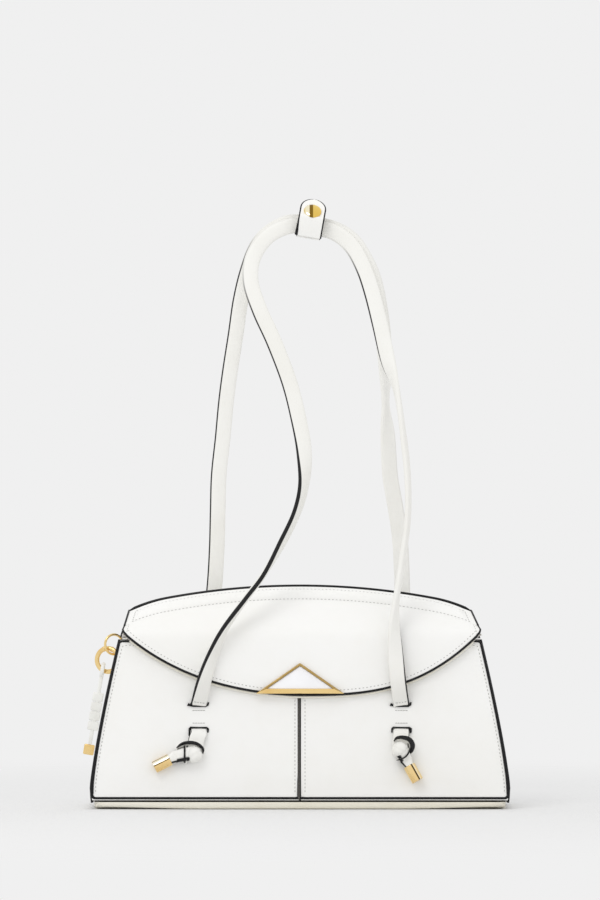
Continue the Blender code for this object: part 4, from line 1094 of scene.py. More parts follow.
rimForm = {
    "top": 0.0018, "low": 0.0113, "upperStitch": 0.0036, "lowerStitch": 0.0104, "swell": 0.0022,
    "depth": 0.0042, "lapOver": 0.0004, "endStitch": 0.966,
}


def rimRun(seam):
    return (rimForm[seam] - rimForm["top"]) / (rimForm["low"] - rimForm["top"])


def rimPoint(share, run):
    # run goes from 0 at the top edge of the rim to 1 at its low edge
    place, outward = rimFrame(share, mix(rimForm["top"], rimForm["low"], run))
    first, last = rimRun("upperStitch"), rimRun("lowerStitch")
    between = clamp((run - first) / (last - first))
    crown = rimForm["swell"] * math.sin(between * math.pi) ** 0.7
    wave = math.sin(share * bodyForm["ridgeHalfWidth"] / 0.0054 * math.tau)
    pucker = 0.00012 * wave * math.sin(between * math.pi)
    ends = smooth((rimForm["endStitch"] - abs(share)) / 0.035)
    lap = mix(rimForm["lapOver"], 0.0001, smooth((run - 0.88) / 0.12))
    return place + outward * ((crown + pucker) * ends + lap), outward


def buildRim():
    def place(across, around):
        # the rim's front face, then its low edge turned under, then its back up to the top
        share = (2 * across - 1)
        if around <= 0.72:
            return rimPoint(share, around / 0.72)[0]
        back = (around - 0.72) / 0.28
        under, rise = min(back / 0.15, 1), max(back - 0.15, 0) / 0.85
        depth = rimForm["depth"] * math.sin(rise * math.pi) ** 0.5
        turned = mix(rimForm["low"], flapForm["rimDrop"] - 0.0003, under)
        here, outward = rimFrame(share, mix(turned, rimForm["top"], rise))
        return here + outward * (mix(0.0001, -0.0003, under) - depth * 0.75)

    rim = surfacePiece("ridgeRim", place, 260, 56, capped=True)
    rim.data.materials.append(whiteLeather)
    settle(rim, "bag_body", ["ridge_rim"], 60)
    first, last = rimRun("upperStitch"), rimRun("lowerStitch")
    end = rimForm["endStitch"]
    shares = spread(-end, end, 160)
    path = [(share, first) for share in shares] + [(end, run) for run in spread(first, last, 8)[1:-1]]
    path += [(share, last) for share in reversed(shares)] + [(-end, run)
                                                             for run in spread(last, first, 8)[1:-1]]
    lifted = [(point + outward * 0.00012, outward) for point, outward in [rimPoint(*spot) for spot in path]]
    stitchRow("rimStitches", lifted, "bag_body", closed=True)
    # the painted edge goes on from the flap's side up to the ridge's corner
    edges = []
    for side in (-1, 1):
        line = []
        for step in range(9):
            z = ridgeZ(1) - mix(flapForm["rimDrop"] + 0.0004, 0.0010, step / 8)
            line.append(Vector((flapX(side, z) + side * 0.0003, flapY(side, z) - 0.0004, z)))
        line.append(Vector((side * (bodyForm["ridgeHalfWidth"] - 0.0014), backY(ridgeZ(1)) - 0.0010,
                            ridgeZ(1) - 0.0008)))
        edges.append(tubePiece("rimEnd", line, flapForm["beadRadius"] * 0.78, blackEdge))
    ends = joinPieces("rimEnds", edges)
    settle(ends, "bag_body", ())


def buildFlap():
    flapSheet("flapLeather", 0, 0, 0, flapForm["outer"], [whiteLeather, blackEdge], ["flap_outer"])
    flapSheet("flapStiffener", 0.0017, 0.007, 0.007, 0.0011, [boardGreyAndSeamHighlight], ["flap_core"],
              40, 20)
    flapSheet("flapLining", 0.0033, 0.0004, -0.0013, 0.0007, [liningCloth], ["flap_lining"],
              90, 30)
    edge, lip = [], []
    for share, drop in flapEdgePath(0.0):
        point, normal = flapPoint(share, drop)
        beside = smooth((abs(share) - flapCut["cornerFrom"]) / flapCut["cornerSpan"])
        edge.append(point - normal * 0.0004 + Vector((math.copysign(0.0005 * beside, share), 0, 0)))
        if abs(share) < 0.965:
            lip.append(point - normal * 0.0024 - Vector((0, 0, 0.0011)))

    def beadWidth(point):
        return mix(1.0, 0.78, smooth((point.z - flapForm["cornerZ"] + 0.004) / 0.006))

    bead = tubePiece("flapEdge", edge, flapForm["beadRadius"], blackEdge, widthAt=beadWidth)
    # the turned lip under the flap's black edge takes the base's darker cream: painted shade below the edge
    fold = tubePiece("flapFold", lip, 0.0010, shadedBaseLeather)
    for piece, slot in ((bead, "black_edge_paint"), (fold, "lining_cloth")):
        makeActive(piece)
        bpy.ops.object.shade_smooth()
        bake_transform(piece)
    path = [flapPoint(share, drop) for share, drop in flapEdgePath(flapForm["stitchInset"])]
    stitchRow("flapStitches", path, None, blended=flapBend)


buildFlap()
buildRim()
print("flap built")


# triangle on the flap: a gold frame round a flat white inlay
triangleForm = {
    "footZ": 0.0824, "halfWidth": 0.0316, "height": 0.0221, "baseBar": 0.0035, "sideBar": 0.0017,
    "thickness": 0.0022, "lift": 0.0003, "bevel": 0.00055, "inlayThickness": 0.0012, "inlayGap": 0.00012,
    "inlayBevel": 0.00015,
}


def triangleCorners(baseInset, sideInset):
    form = triangleForm
    run = math.hypot(form["halfWidth"], form["height"])
    half = form["halfWidth"] - sideInset * run / form["height"]
    top = form["height"] - sideInset * run / form["halfWidth"]
    low = half * (top - baseInset) / top
    return [Vector((-low, baseInset, 0)), Vector((low, baseInset, 0)), Vector((0, top, 0))]


def trianglePlate(name, corners):
    plate = newMesh(bpy.ops.mesh.primitive_circle_add, name, vertices=3, radius=0.01, fill_type="NGON")
    for vert, corner in zip(plate.data.vertices, corners):
        vert.co = corner
    faceToward(plate, Vector((0, 0, 1)))
    return plate


def buildTriangle():
    form = triangleForm
    seat = uprightFrame(lambda z: flapY(0, z), 1, 0, form["footZ"])
    rim = trianglePlate("triangleFrame", triangleCorners(0, 0))
    inEditMode(rim, selectAll, lambda: bpy.ops.mesh.inset(thickness=0.0015))
    inner = triangleCorners(form["baseBar"], form["sideBar"])
    for vert in rim.data.vertices[3:]:
        vert.co = min(inner, key=lambda corner: (corner - vert.co).length)
    selectFaces(rim, lambda face: len(face.vertices) == 3)
    inEditMode(rim, lambda: bpy.ops.mesh.delete(type="FACE"))
    faceToward(rim, Vector((0, 0, 1)))
    applyModifier(rim, "SOLIDIFY", thickness=form["thickness"], offset=-1)
    rim.data.transform(Matrix.Translation((0, 0, form["thickness"])))
    roundEdges(rim, form["bevel"], 4, 40)
    rim.data.materials.append(goldMetal)
    rim.data.materials.append(shadedGold)
    # the side bars take the darker gold: painted shade, standing for the dark they reflect
    for face in rim.data.polygons:
        face.material_index = 1 if face.center.y > form["baseBar"] + 0.0002 else 0
    rim.data.transform(seat @ Matrix.Translation((0, 0, form["lift"])))
    settle(rim, "flap", ["triangle_frame"], 30)
    inside = triangleCorners(form["baseBar"] + form["inlayGap"], form["sideBar"] + form["inlayGap"])
    inlay = trianglePlate("triangleInlay", inside)
    applyModifier(inlay, "SOLIDIFY", thickness=form["inlayThickness"], offset=-1)
    roundEdges(inlay, form["inlayBevel"])
    inlay.data.transform(seat @ Matrix.Translation((0, 0, form["inlayThickness"] + form["lift"])))
    inlay.data.materials.append(inlayWhite)
    settle(inlay, "flap", ["triangle_inlay"], 30)


buildTriangle()
hiddenFittings = {
    "flap_magnet_left": steelMetal, "front_magnet_left": steelMetal, "flap_magnet_right": steelMetal,
    "front_magnet_right": steelMetal, "triangle_back_plate": steelMetal, "base_board": boardGreyAndSeamHighlight,
    "snap_socket": goldMetal, "snap_stud": goldMetal, "snap_post": goldMetal,
}
for fitting, finish in hiddenFittings.items():
    paintOnly(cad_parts[fitting], finish)
print("triangle and hidden fittings done")


# straps: folded leather with a painted edge on one side, and short rows of stitches across their ends
strapForm = {
    "offset": 0.0725, "halfWidth": 0.0057, "halfThickness": 0.00225, "rise": 0.343, "standOff": 0.0052,
    "topOffset": 0.0027, "leanFoot": 0.02, "leanShare": 0.955, "stations": 520, "sides": 28, "curl": 0.0026,
    "edgeThin": 0.80, "foldThin": 0.92, "keeperAt": 0.52, "footThin": 0.62, "endThin": 0.45, "curlTurn": 84,
    "curlSteps": 8, "endStitchAt": 10,
}
frontRoute = [
    (-1.000, 0.000, -0.12), (-0.943, 0.050, -0.34), (-0.859, 0.103, -0.60), (-0.745, 0.155, -0.82),
    (-0.540, 0.217, -0.97), (-0.359, 0.269, -1.00), (-0.186, 0.332, -0.80), (-0.034, 0.399, -0.75),
    (0.037, 0.460, -0.60), (0.039, 0.527, -0.20), (-0.021, 0.600, 0.00), (-0.110, 0.673, 0.00),
    (-0.255, 0.754, 0.00), (-0.400, 0.822, 0.00), (-0.490, 0.883, 0.00), (-0.462, 0.935, 0.00),
    (-0.310, 0.979, 0.00), (-0.083, 1.000, 0.00), (0.152, 0.995, 0.00), (0.345, 0.985, 0.00),
    (0.510, 0.957, 0.00), (0.628, 0.912, 0.00), (0.710, 0.861, 0.00), (0.793, 0.791, -0.05),
    (0.869, 0.720, -0.30), (0.959, 0.652, -0.90), (1.025, 0.556, -1.10), (1.066, 0.466, -1.10),
    (1.062, 0.381, -1.10), (1.004, 0.291, -1.08), (0.952, 0.221, -1.10), (0.930, 0.163, -1.40),
    (0.942, 0.107, -1.70), (0.966, 0.052, -2.00), (1.000, 0.000, -2.00),
]
backRoute = [
    (-1.000, 0.000, 0.00), (-0.966, 0.072, 0.00), (-0.903, 0.160, 0.00), (-0.855, 0.241, 0.00),
    (-0.832, 0.320, 0.00), (-0.822, 0.399, 0.00), (-0.811, 0.475, 0.00), (-0.772, 0.553, 0.00),
    (-0.738, 0.629, 0.00), (-0.697, 0.696, 0.00), (-0.641, 0.772, 0.00), (-0.593, 0.842, 0.00),
    (-0.524, 0.903, 0.00), (-0.428, 0.956, 0.00), (-0.290, 0.988, 0.00), (-0.097, 1.007, 0.00),
    (0.138, 1.002, 0.00), (0.345, 0.993, 0.00), (0.517, 0.970, 0.00), (0.641, 0.932, 0.00),
    (0.731, 0.889, 0.00), (0.793, 0.830, 0.00), (0.830, 0.766, 0.10), (0.852, 0.696, 0.45),
    (0.854, 0.626, 0.80), (0.876, 0.556, 0.30), (0.899, 0.475, 0.10), (0.952, 0.408, 0.00),
    (0.997, 0.341, 0.00), (1.018, 0.262, 0.00), (1.021, 0.189, 0.00), (1.014, 0.087, 0.00),
    (1.000, 0.000, 0.00),
]


def strapFoot(face):
    return wallFrame(face, 0, upperSlotZ) @ Vector((0, 0, 0.0003 + strapForm["halfThickness"]))


def strapY(face, rise):
    form = strapForm
    footY = strapFoot(face).y
    if face == "back":
        return mix(footY, form["topOffset"], min(rise / (form["rise"] * form["leanShare"]), 1))
    standY = flapY(0, flapCut["middleZ"]) - form["standOff"]
    if rise < form["leanFoot"]:
        return mix(footY, standY, math.sin(rise / form["leanFoot"] * math.pi / 2))
    share = (rise - form["leanFoot"]) / (form["rise"] * form["leanShare"] - form["leanFoot"])
    return mix(standY, -form["topOffset"], min(share, 1))


def strapPoints(face):
    footZ = strapFoot(face).z
    offset, rise = strapForm["offset"], strapForm["rise"]
    return [Vector((offset * x, strapY(face, rise * up), footZ + rise * up, turn))
            for x, up, turn in (frontRoute if face == "front" else backRoute)]


def strapSections(face):
    # centre, broad direction, thin direction and thickness share at each station, slot to slot
    points = strapPoints(face)
    inward = 1 if face == "front" else -1
    sections = []
    count = strapForm["stations"]
    for step in range(count + 1):
        along = step / count
        here = smoothRoute(points, along)
        tangent = smoothRoute(points, min(along + 0.004, 1)) - smoothRoute(points, max(along - 0.004, 0))
        tangent = tangent.to_3d().normalized()
        across = tangent.cross(Vector((0, 1, 0))).normalized()
        thick = across.cross(tangent)
        turn = here.w * math.pi / 2
        wide = across * math.cos(turn) + thick * math.sin(turn)
        deep = thick * math.cos(turn) - across * math.sin(turn)
        near = min(along, 1 - along)
        sections.append((here.to_3d(), wide, deep, mix(strapForm["footThin"], 1.0, smooth(near / 0.02))))
    # both ends curl inwards through their slots
    curl = strapForm["curl"]
    for first in (True, False):
        foot, wide, deep = (sections[0] if first else sections[-1])[:3]
        extra = []
        for share in spread(0, 1, strapForm["curlSteps"])[1:]:
            angle = share * math.radians(strapForm["curlTurn"])
            place = foot + Vector((0, inward * curl * (1 - math.cos(angle)), -curl * math.sin(angle)))
            turn = Matrix.Rotation(-inward * angle, 3, "X")
            extra.append((place, wide, turn @ deep, mix(strapForm["footThin"], strapForm["endThin"], share)))
        sections = extra[::-1] + sections if first else sections + extra
    return sections


def bandRing(around, wide, deep, halfWidth, halfThickness):
    # section of folded leather: painted edge at 0, fold at half a turn
    angle = around * math.tau
    side = math.copysign(abs(math.cos(angle)) ** 0.55, math.cos(angle))
    lift = math.copysign(abs(math.sin(angle)) ** 0.62, math.sin(angle))
    if side > 0:
        thin = mix(1.0, strapForm["edgeThin"], smooth((side - 0.1) / 0.9))
    else:
        thin = mix(1.0, strapForm["foldThin"], smooth(-side))
    return wide * (side * halfWidth) + deep * (lift * thin * halfThickness)


def ribbonPiece(name, sections, halfWidth, halfThickness, material, sides):
    count = len(sections) - 1

    def place(around, along):
        centre, wide, deep, thin = sections[round(along * count)]
        swell = 1 + 0.06 * wander(centre, 60, 2.0)
        return centre + bandRing(around, wide, deep, halfWidth, halfThickness * thin * swell)

    piece = surfacePiece(name, place, sides, count, capped=True)
    piece.data.materials.append(material)
    return piece


def turnEdge(piece, startAt):
    # past this share of the length the painted edge is on the strap's other side
    layer = piece.data.uv_layers.active.data
    for spot in layer:
        if spot.uv.y > startAt:
            spot.uv.x += 0.5


def endStitches(name, sections, body):
    # a short row across each end of the strap, on the face that is seen
    near = strapForm["endStitchAt"]
    for end, picks in (("Left", sections[near]), ("Right", sections[-1 - near])):
        centre, wide, deep, thin = picks
        outward = deep if deep.y * (-1 if name == "front" else 1) > 0 else -deep
        face = centre + outward * (strapForm["halfThickness"] * thin)
        path = [(face + wide * (share * strapForm["halfWidth"]), outward)
                for share in (-0.7, -0.35, 0, 0.35, 0.7)]
        stitchRow(f"{name}Strap{end}Stitches", path, body, pitch=stitchForm["shortPitch"])


def buildStraps():
    for face in ("front", "back"):
        sections = strapSections(face)
        paint = strapLeather if face == "front" else rearStrapLeather
        strap = ribbonPiece(f"{face}Strap", sections, strapForm["halfWidth"], strapForm["halfThickness"],
                            paint,
                            strapForm["sides"])
        if face == "front":
            turnEdge(strap, strapForm["keeperAt"])
        settle(strap, f"{face}_strap_body", [f"{face}_strap"], 70)
        endStitches(face, sections, f"{face}_strap_body")


# the painted edge round a slot, as a line from the slot's middle, and the drop of paint at its end
slotEdges = {
    "upper": {"line": [(-0.0078, -0.0002), (-0.0067, -0.0008), (-0.0040, -0.0016), (0.0005, -0.0016),
                       (0.0050, -0.0016), (0.0066, -0.0007), (0.0070, 0.0012)],
              "drop": (-0.0078, -0.0002), "level": 0.0006, "radius": 0.00058, "reach": 0.0019},
    "lower": {"line": [(-0.0067, None), (-0.0067, 0.0004), (-0.0058, 0.0015), (0.0, 0.0012), (0.0058, 0.0013),
                       (0.0068, 0.0004), (0.0066, None)],
              "drop": (0.0068, -0.0006), "level": 0.0005, "radius": 0.00062, "reach": 0.0022},
}
slotEdgeSides = {-1: {"left": 0.0046, "right": 0.0022, "fat": 0.2},
                 1: {"left": 0.0022, "right": 0.0026, "fat": 0.9}}


def slotEdge(name, seat, middle, edge, fat):
    # the line of paint is thicker at its drop
    level, reach = edge["level"], edge["reach"]
    drop = seat @ Vector((edge["drop"][0], middle + edge["drop"][1], level))
    line = [seat @ Vector((x, middle + y, level)) for x, y in edge["line"]]
    return tubePiece(name, line, edge["radius"], blackEdge,
                     widthAt=lambda point: 1 + fat * (1 - smooth((point - drop).length / reach)))


def buildSlotEdges():
    # the painted edge round each slot, and the short rows of stitches beside it
    upper = slotForm["spacing"] / 2
    for face in ("front", "back"):
        for side in (-1, 1):
            seat = wallFrame(face, side * slotForm["offset"], slotMiddleZ)
            swell = (frontLift if face == "front" else backLift)(side * slotForm["offset"], slotMiddleZ)
            seat = Matrix.Translation((0, -swell if face == "front" else swell, 0)) @ seat
            label = f"{face}{'Left' if side < 0 else 'Right'}"
            legs = slotEdgeSides[side]
            line = slotEdges["lower"]["line"]
            line = [(line[0][0], -legs["left"])] + line[1:-1] + [(line[-1][0], -legs["right"])]
            edges = [slotEdge("upperSlotEdge", seat, upper, slotEdges["upper"], 1.1),
                     slotEdge("lowerSlotEdge", seat, -upper, {**slotEdges["lower"], "line": line},
                              legs["fat"])]
            settle(joinPieces(f"{label}SlotEdges", edges), "bag_body", ())
            for row, y in (("Upper", upper - 0.0046), ("Lower", -upper + 0.0046)):
                outward = seat.to_3x3() @ Vector((0, 0, 1))
                path = [(seat @ Vector((x, y, 0.0001)), outward) for x in (-0.0046, -0.002, 0.002, 0.0046)]
                stitchRow(f"{label}{row}SlotStitches", path, "bag_body", pitch=stitchForm["shortPitch"])


buildStraps()
buildSlotEdges()
print("straps built")


# knots under the lower slots, with their tails and gold caps
knotForm = {
    "halfWidth": 0.0098, "halfHeight": 0.0082, "halfDepth": 0.0056, "clearance": 0.0006,
    "ball": (0.0060, 0.0062, 0.0050), "ballOut": 0.0058,
    "tailRadius": 0.0033, "tailLength": 0.0147, "capRadius": 0.0043, "capLength": 0.0125,
    "strip": (0.0057, 0.0011), "wrap": (0.0040, 0.0015),
    "under": (0.0046, 0.0026),  # half width, half thickness
    "wrapLevels": (0.0046, 0.0066), "tipSink": 0.0016, "tailRoot": -0.0026, "tailEnd": 0.0014,
    "tailLift": 0.0005,
    "capWall": 0.00075, "capFloor": 0.0022, "capBevel": 0.00055,
}
knotPlaces = {
    "front_left": {"face": "front", "side": -1, "shift": 0.7, "drop": 1.85, "fall": 27, "ballIn": 0.0039,
                   "ballDown": 0.0034},
    "front_right": {"face": "front", "side": 1, "shift": -0.15, "drop": 1.7, "fall": 61, "ballIn": -0.0005,
                    "ballDown": 0.0012},
    "back_left": {"face": "back", "side": -1, "shift": 0.3, "drop": 1.8, "fall": 50, "ballIn": 0.0006,
                  "ballDown": 0.0012},
    "back_right": {"face": "back", "side": 1, "shift": 0.5, "drop": 1.95, "fall": 28, "ballIn": 0.0036,
                   "ballDown": 0.0030},
}
# bands round each ball, drawn for a tail that leaves to the right: place from the ball's middle, thickness
wideWraps = [
    [(0.0126, 0.0044, 0.35), (0.0082, 0.0074, 0.85), (0.0028, 0.0081, 1.05), (-0.0022, 0.0070, 0.90),
     (-0.0058, 0.0037, 0.72), (-0.0056, 0.0004, 0.35)],
    [(0.0069, 0.0062, 0.55), (0.0064, 0.0014, 0.60), (0.0066, -0.0064, 0.70)],
]
highWraps = [
    [(-0.0042, 0.0057, 0.35), (-0.0022, 0.0080, 0.75), (0.0018, 0.0084, 1.10), (0.0064, 0.0070, 1.35),
     (0.0085, 0.0034, 1.45), (0.0080, -0.0002, 1.15), (0.0068, -0.0026, 0.55)],
    [(0.0066, 0.0012, 0.50), (0.0060, -0.0014, 0.50), (0.0042, -0.0044, 0.48), (0.0010, -0.0066, 0.42),
     (-0.0028, -0.0074, 0.30)],
]


def tailFrame(seat, centre, side, fall):
    form = knotForm
    angle = math.radians(fall)
    along = Vector((side * math.cos(angle), -math.sin(angle), 0))
    reach = 1 / math.hypot(along.x / form["halfWidth"], along.y / form["halfHeight"])
    start = centre + along * (reach + form["tailRadius"] + 0.0003)
    start.z = form["capRadius"] + 0.0003
    local = Matrix((along.cross(Vector((0, 0, 1))), along, Vector((0, 0, 1)))).transposed().to_4x4()
    local.translation = start
    return seat @ local


def curvePoints(points, count):
    solid = [Vector(point) for point in points]
    return [smoothRoute(solid, step / count) for step in range(count + 1)]


def carried(seat, point, wide, deep, thin=1.0):
    # a ribbon's section, brought from a seat's own directions to the bag's
    return seat @ point, seat.to_3x3() @ wide, seat.to_3x3() @ deep, thin


def buildKnot(name, place):
    form = knotForm
    side = place["side"]
    seat = wallFrame(place["face"], side * slotForm["offset"], slotMiddleZ)
    turn = side if place["face"] == "front" else -side
    centre = Vector((turn * place["shift"] * form["halfWidth"],
                     -slotForm["spacing"] / 2 - place["drop"] * form["halfHeight"],
                     form["halfDepth"] + form["clearance"]))
    ball = Vector((centre.x - turn * place["ballIn"], centre.y - place["ballDown"], form["ballOut"]))
    pieces = []
    # the strip from the upper slot behind the leather, out of the lower slot and down into the knot
    upper = slotForm["spacing"] / 2
    route = [(0, upper, 0.0012), (0, upper - 0.0005, -0.0012), (0, upper - 0.0030, -0.0036), (0, 0, -0.0040),
             (0, -upper + 0.0030, -0.0036), (0, -upper + 0.0008, -0.0012), (0, -upper - 0.0006, 0.0011),
             (0.0000, -upper - 0.0035, 0.0030), (ball.x * 0.5, -upper - 0.0075, 0.0036),
             (ball.x * 0.9, ball.y + 0.0040, 0.0040), (ball.x, ball.y, 0.0042)]
    line = curvePoints(route, 60)
    sections = []
    for index, point in enumerate(line):
        tangent = directionAt(line, index)
        wide = Vector((turn, 0, 0))
        deep = wide.cross(tangent).normalized()
        sections.append(carried(seat, point, tangent.cross(deep).normalized(), deep))
    pieces.append(ribbonPiece(f"{name}Strip", sections, *form["strip"], knotLeather, 20))

    # the ball: leather gathered over itself, with a soft fold
    def ballPlace(around, up):
        theta, phi = around * math.tau, (up - 0.5) * math.pi * 0.998
        way = Vector((math.cos(phi) * math.cos(theta), math.sin(phi), math.cos(phi) * math.sin(theta)))
        fold = 0.07 * math.exp(-((way.x * 0.6 * turn + way.y + 0.15) / 0.16) ** 2)
        swell = 1 + 0.05 * noise.noise(way * 1.7 + Vector((side, 0, 4))) - fold
        squash = 1 - 0.06 * (way.y ** 2)
        wide, high, deep = form["ball"]
        return seat @ (ball + Vector((way.x * wide * swell, way.y * high * swell * squash,
                                      way.z * deep * swell)))

    core = surfacePiece(f"{name}Ball", ballPlace, 48, 32, closed=True, capped=True)
    core.data.materials.append(plainStrap)
    pieces.append(core)
    # the wraps: the strap stands on edge round the ball, so that its painted edge shows
    for number, shape in enumerate(wideWraps if place["fall"] < 40 else highWraps):
        level, steps = form["wrapLevels"][number], 56
        loop = curvePoints([(ball.x + turn * x, ball.y + y, level) for x, y, thick in shape], steps)
        shares = curvePoints([(thick, 0, 0) for x, y, thick in shape], steps)
        sections = []
        for index, point in enumerate(loop):
            tangent = directionAt(loop, index)
            tip = smooth(min(index, steps - index) / steps / 0.12)
            lean = point - ball
            lean.z = 0
            wide = (Vector((0, 0, 1)) + lean.normalized() * 0.18).normalized()
            deep = tangent.cross(wide).normalized()
            wide = deep.cross(tangent).normalized()
            sunk = point - Vector((0, 0, form["tipSink"] * (1 - tip)))
            sections.append(carried(seat, sunk, wide, deep, shares[index].x * mix(0.6, 1.0, tip)))
        pieces.append(ribbonPiece(f"{name}Wrap{number}", sections, *form["wrap"], wrapLeather, 24))
    # the end that dives under the wrap towards the tail
    tail = tailFrame(seat, centre, turn, place["fall"])
    toward = seat.inverted() @ (tail @ Vector((0, -0.002, 0)))
    halfway = (mix(ball.x, toward.x, 0.5), mix(ball.y, toward.y, 0.5) + 0.0006, 0.0068)
    under = curvePoints([(ball.x - turn * 0.001, ball.y + 0.001, 0.0062), halfway, toward], 24)
    sections = []
    for index, point in enumerate(under):
        tangent = directionAt(under, index)
        deep = Vector((0, 0, 1))
        wide = tangent.cross(deep).normalized() * turn
        deep = wide.cross(tangent).normalized()
        wide *= mix(1.12, 0.92, index / 24)
        sections.append(carried(seat, point, wide, deep))
    pieces.append(ribbonPiece(f"{name}Under", sections, *form["under"], underLeather, 24))
    for piece in pieces:
        shadeSmooth(piece, 60)
    whole = joinPieces(f"{place['face']}Knot{'Left' if side < 0 else 'Right'}", pieces)
    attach(whole, "bag_body")
    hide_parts(f"{name}_knot")
    buildTail(name, place, tail, turn)


def extrudeUp(rise):
    bpy.ops.mesh.extrude_region_move(TRANSFORM_OT_translate={"value": (0, 0, rise), "orient_type": "GLOBAL"})


def setAcross(piece, shareAt):
    # the map's first number, which the painted reflection bands on the polished metal follow
    layer = piece.data.uv_layers.active.data
    for loop in piece.data.loops:
        layer[loop.index].uv.x = shareAt(piece.data.vertices[loop.vertex_index].co)


def buildTail(name, place, tail, turn):
    form = knotForm
    sections = []
    end = f"{'Left' if place['side'] < 0 else 'Right'}"
    for y in spread(form["tailRoot"], form["tailLength"] - form["tailEnd"], 30):
        # flat where it leaves the knot, nearly round in the cap
        share = smooth((y + 0.004) / 0.007)
        wide = tail.to_3x3() @ Vector((turn, 0, 0)) * mix(1.35, 0.94, share)
        deep = tail.to_3x3() @ Vector((0, 0, 1)) * mix(0.72, 0.98, share)
        sections.append((tail @ Vector((0, y, form["tailLift"])), wide, deep, 1.0))
    short = ribbonPiece(f"{place['face']}Tail{end}", sections, form["tailRadius"], form["tailRadius"],
                        tailLeather, 32)
    settle(short, f"{name}_tail_body", [f"{name}_tail"], 70)
    # the cap: a drawn cup with a rolled mouth
    cap = newMesh(bpy.ops.mesh.primitive_cylinder_add, f"{place['face']}Cap{end}", vertices=64,
                  radius=form["capRadius"], depth=form["capLength"])
    selectFaces(cap, lambda face: face.normal.z < -0.9)
    inEditMode(cap, lambda: bpy.ops.mesh.inset(thickness=form["capWall"]),
               lambda: extrudeUp(form["capLength"] - form["capFloor"]))
    roundEdges(cap, form["capBevel"], 4, 50)
    # the map runs round the cap, for its painted reflection bands
    setAcross(cap, lambda point: 0.5 + math.atan2(point.x, -point.y) / math.tau)
    cap.data.transform(tail @ Matrix.Rotation(-math.pi / 2, 4, "X")
                       @ Matrix.Translation((0, 0, form["tailLength"] - form["capLength"] / 2)))
    cap.data.materials.append(capGold if place["fall"] < 40 else plainCapGold)
    settle(cap, f"{name}_tail_body", [f"{name}_cap"], 35)


for knotName, knotPlace in knotPlaces.items():
    buildKnot(knotName, knotPlace)
print("knots, tails and caps built")


# keeper band round both straps, with its front tab and the snap
keeperForm = {
    "halfWidth": 0.00875, "thickness": 0.0016, "slack": 0.0018, "tilt": math.radians(10),
    "lean": math.radians(43), "centreX": 0.0076, "roofRise": 0.0034, "rearRise": 0.0088, "snapAlong": -0.0004,
    "tipReach": 0.0125, "rearEnd": 0.0042, "rearStart": 0.0068, "tipShare": 0.985, "kneeReach": 0.0058,
    "edgeBead": 0.00072, "gap": 0.0003, "crown": 0.0003, "bevel": 0.00035, "whiteShare": 0.94,
    "snapStack": (0.0005, 0.0012, 0.0009), "beadSink": 0.00055, "beadSwell": 0.7, "beadReach": 0.014,
}
snapForm = {
    "capRadius": 0.00625, "capHeight": 0.0023, "lip": 0.0006, "bevel": 0.00022, "domeSteps": 9, "gap": 0.0003,
    "stemRadius": 0.0009, "stemLength": 0.0022,
}


def keeperFrame():
    frontTop = max(point.z for point in strapPoints("front"))
    backTop = max(point.z for point in strapPoints("back"))
    centre = Vector((keeperForm["centreX"], 0, (frontTop + backTop) / 2))
    return Matrix.Translation(centre) @ Matrix.Rotation(keeperForm["tilt"], 4, "Y"), frontTop, backTop


def leanPoint(along, rise):
    lean = keeperForm["lean"]
    return (along * math.sin(lean) - rise * math.cos(lean), along * math.cos(lean) + rise * math.sin(lean))


def bandLine(points, count):
    # a smooth line through the corners of the band's side view
    return curvePoints([(y, z, 0) for y, z in points], count)


def keeperStrip(name, line, seat, widthAt, flip=1):
    count = len(line) - 1

    def place(across, along):
        index = round(along * count)
        lift = keeperForm["crown"] * math.sin(across * math.pi) ** 0.5
        tangent = directionAt(line, index)
        outward = Vector((tangent.y, -tangent.x, 0)) * flip
        point = line[index]
        return seat @ Vector(((2 * across - 1) * widthAt(along), point.x + outward.x * lift,
                              point.y + outward.y * lift))

    strip = surfacePiece(name, place, 36, count)
    centre = sum((face.center for face in strip.data.polygons), Vector()) / len(strip.data.polygons)
    if sum(face.area * face.normal.dot(face.center - centre) for face in strip.data.polygons) < 0:
        flipOver(strip)
    strip.data.materials.append(whiteLeather)
    strip.data.materials.append(blackEdge)
    return strip


def whitenFaces(strip, seat, test):
    # the cut edge that is left white at a strip's end: test is given a face's middle in the seat's frame
    inner = keeperForm["halfWidth"] * keeperForm["whiteShare"]
    toSeat = seat.inverted()
    for face in strip.data.polygons:
        low = toSeat @ face.center
        if test(low) and abs(low.x) < inner:
            face.material_index = 0


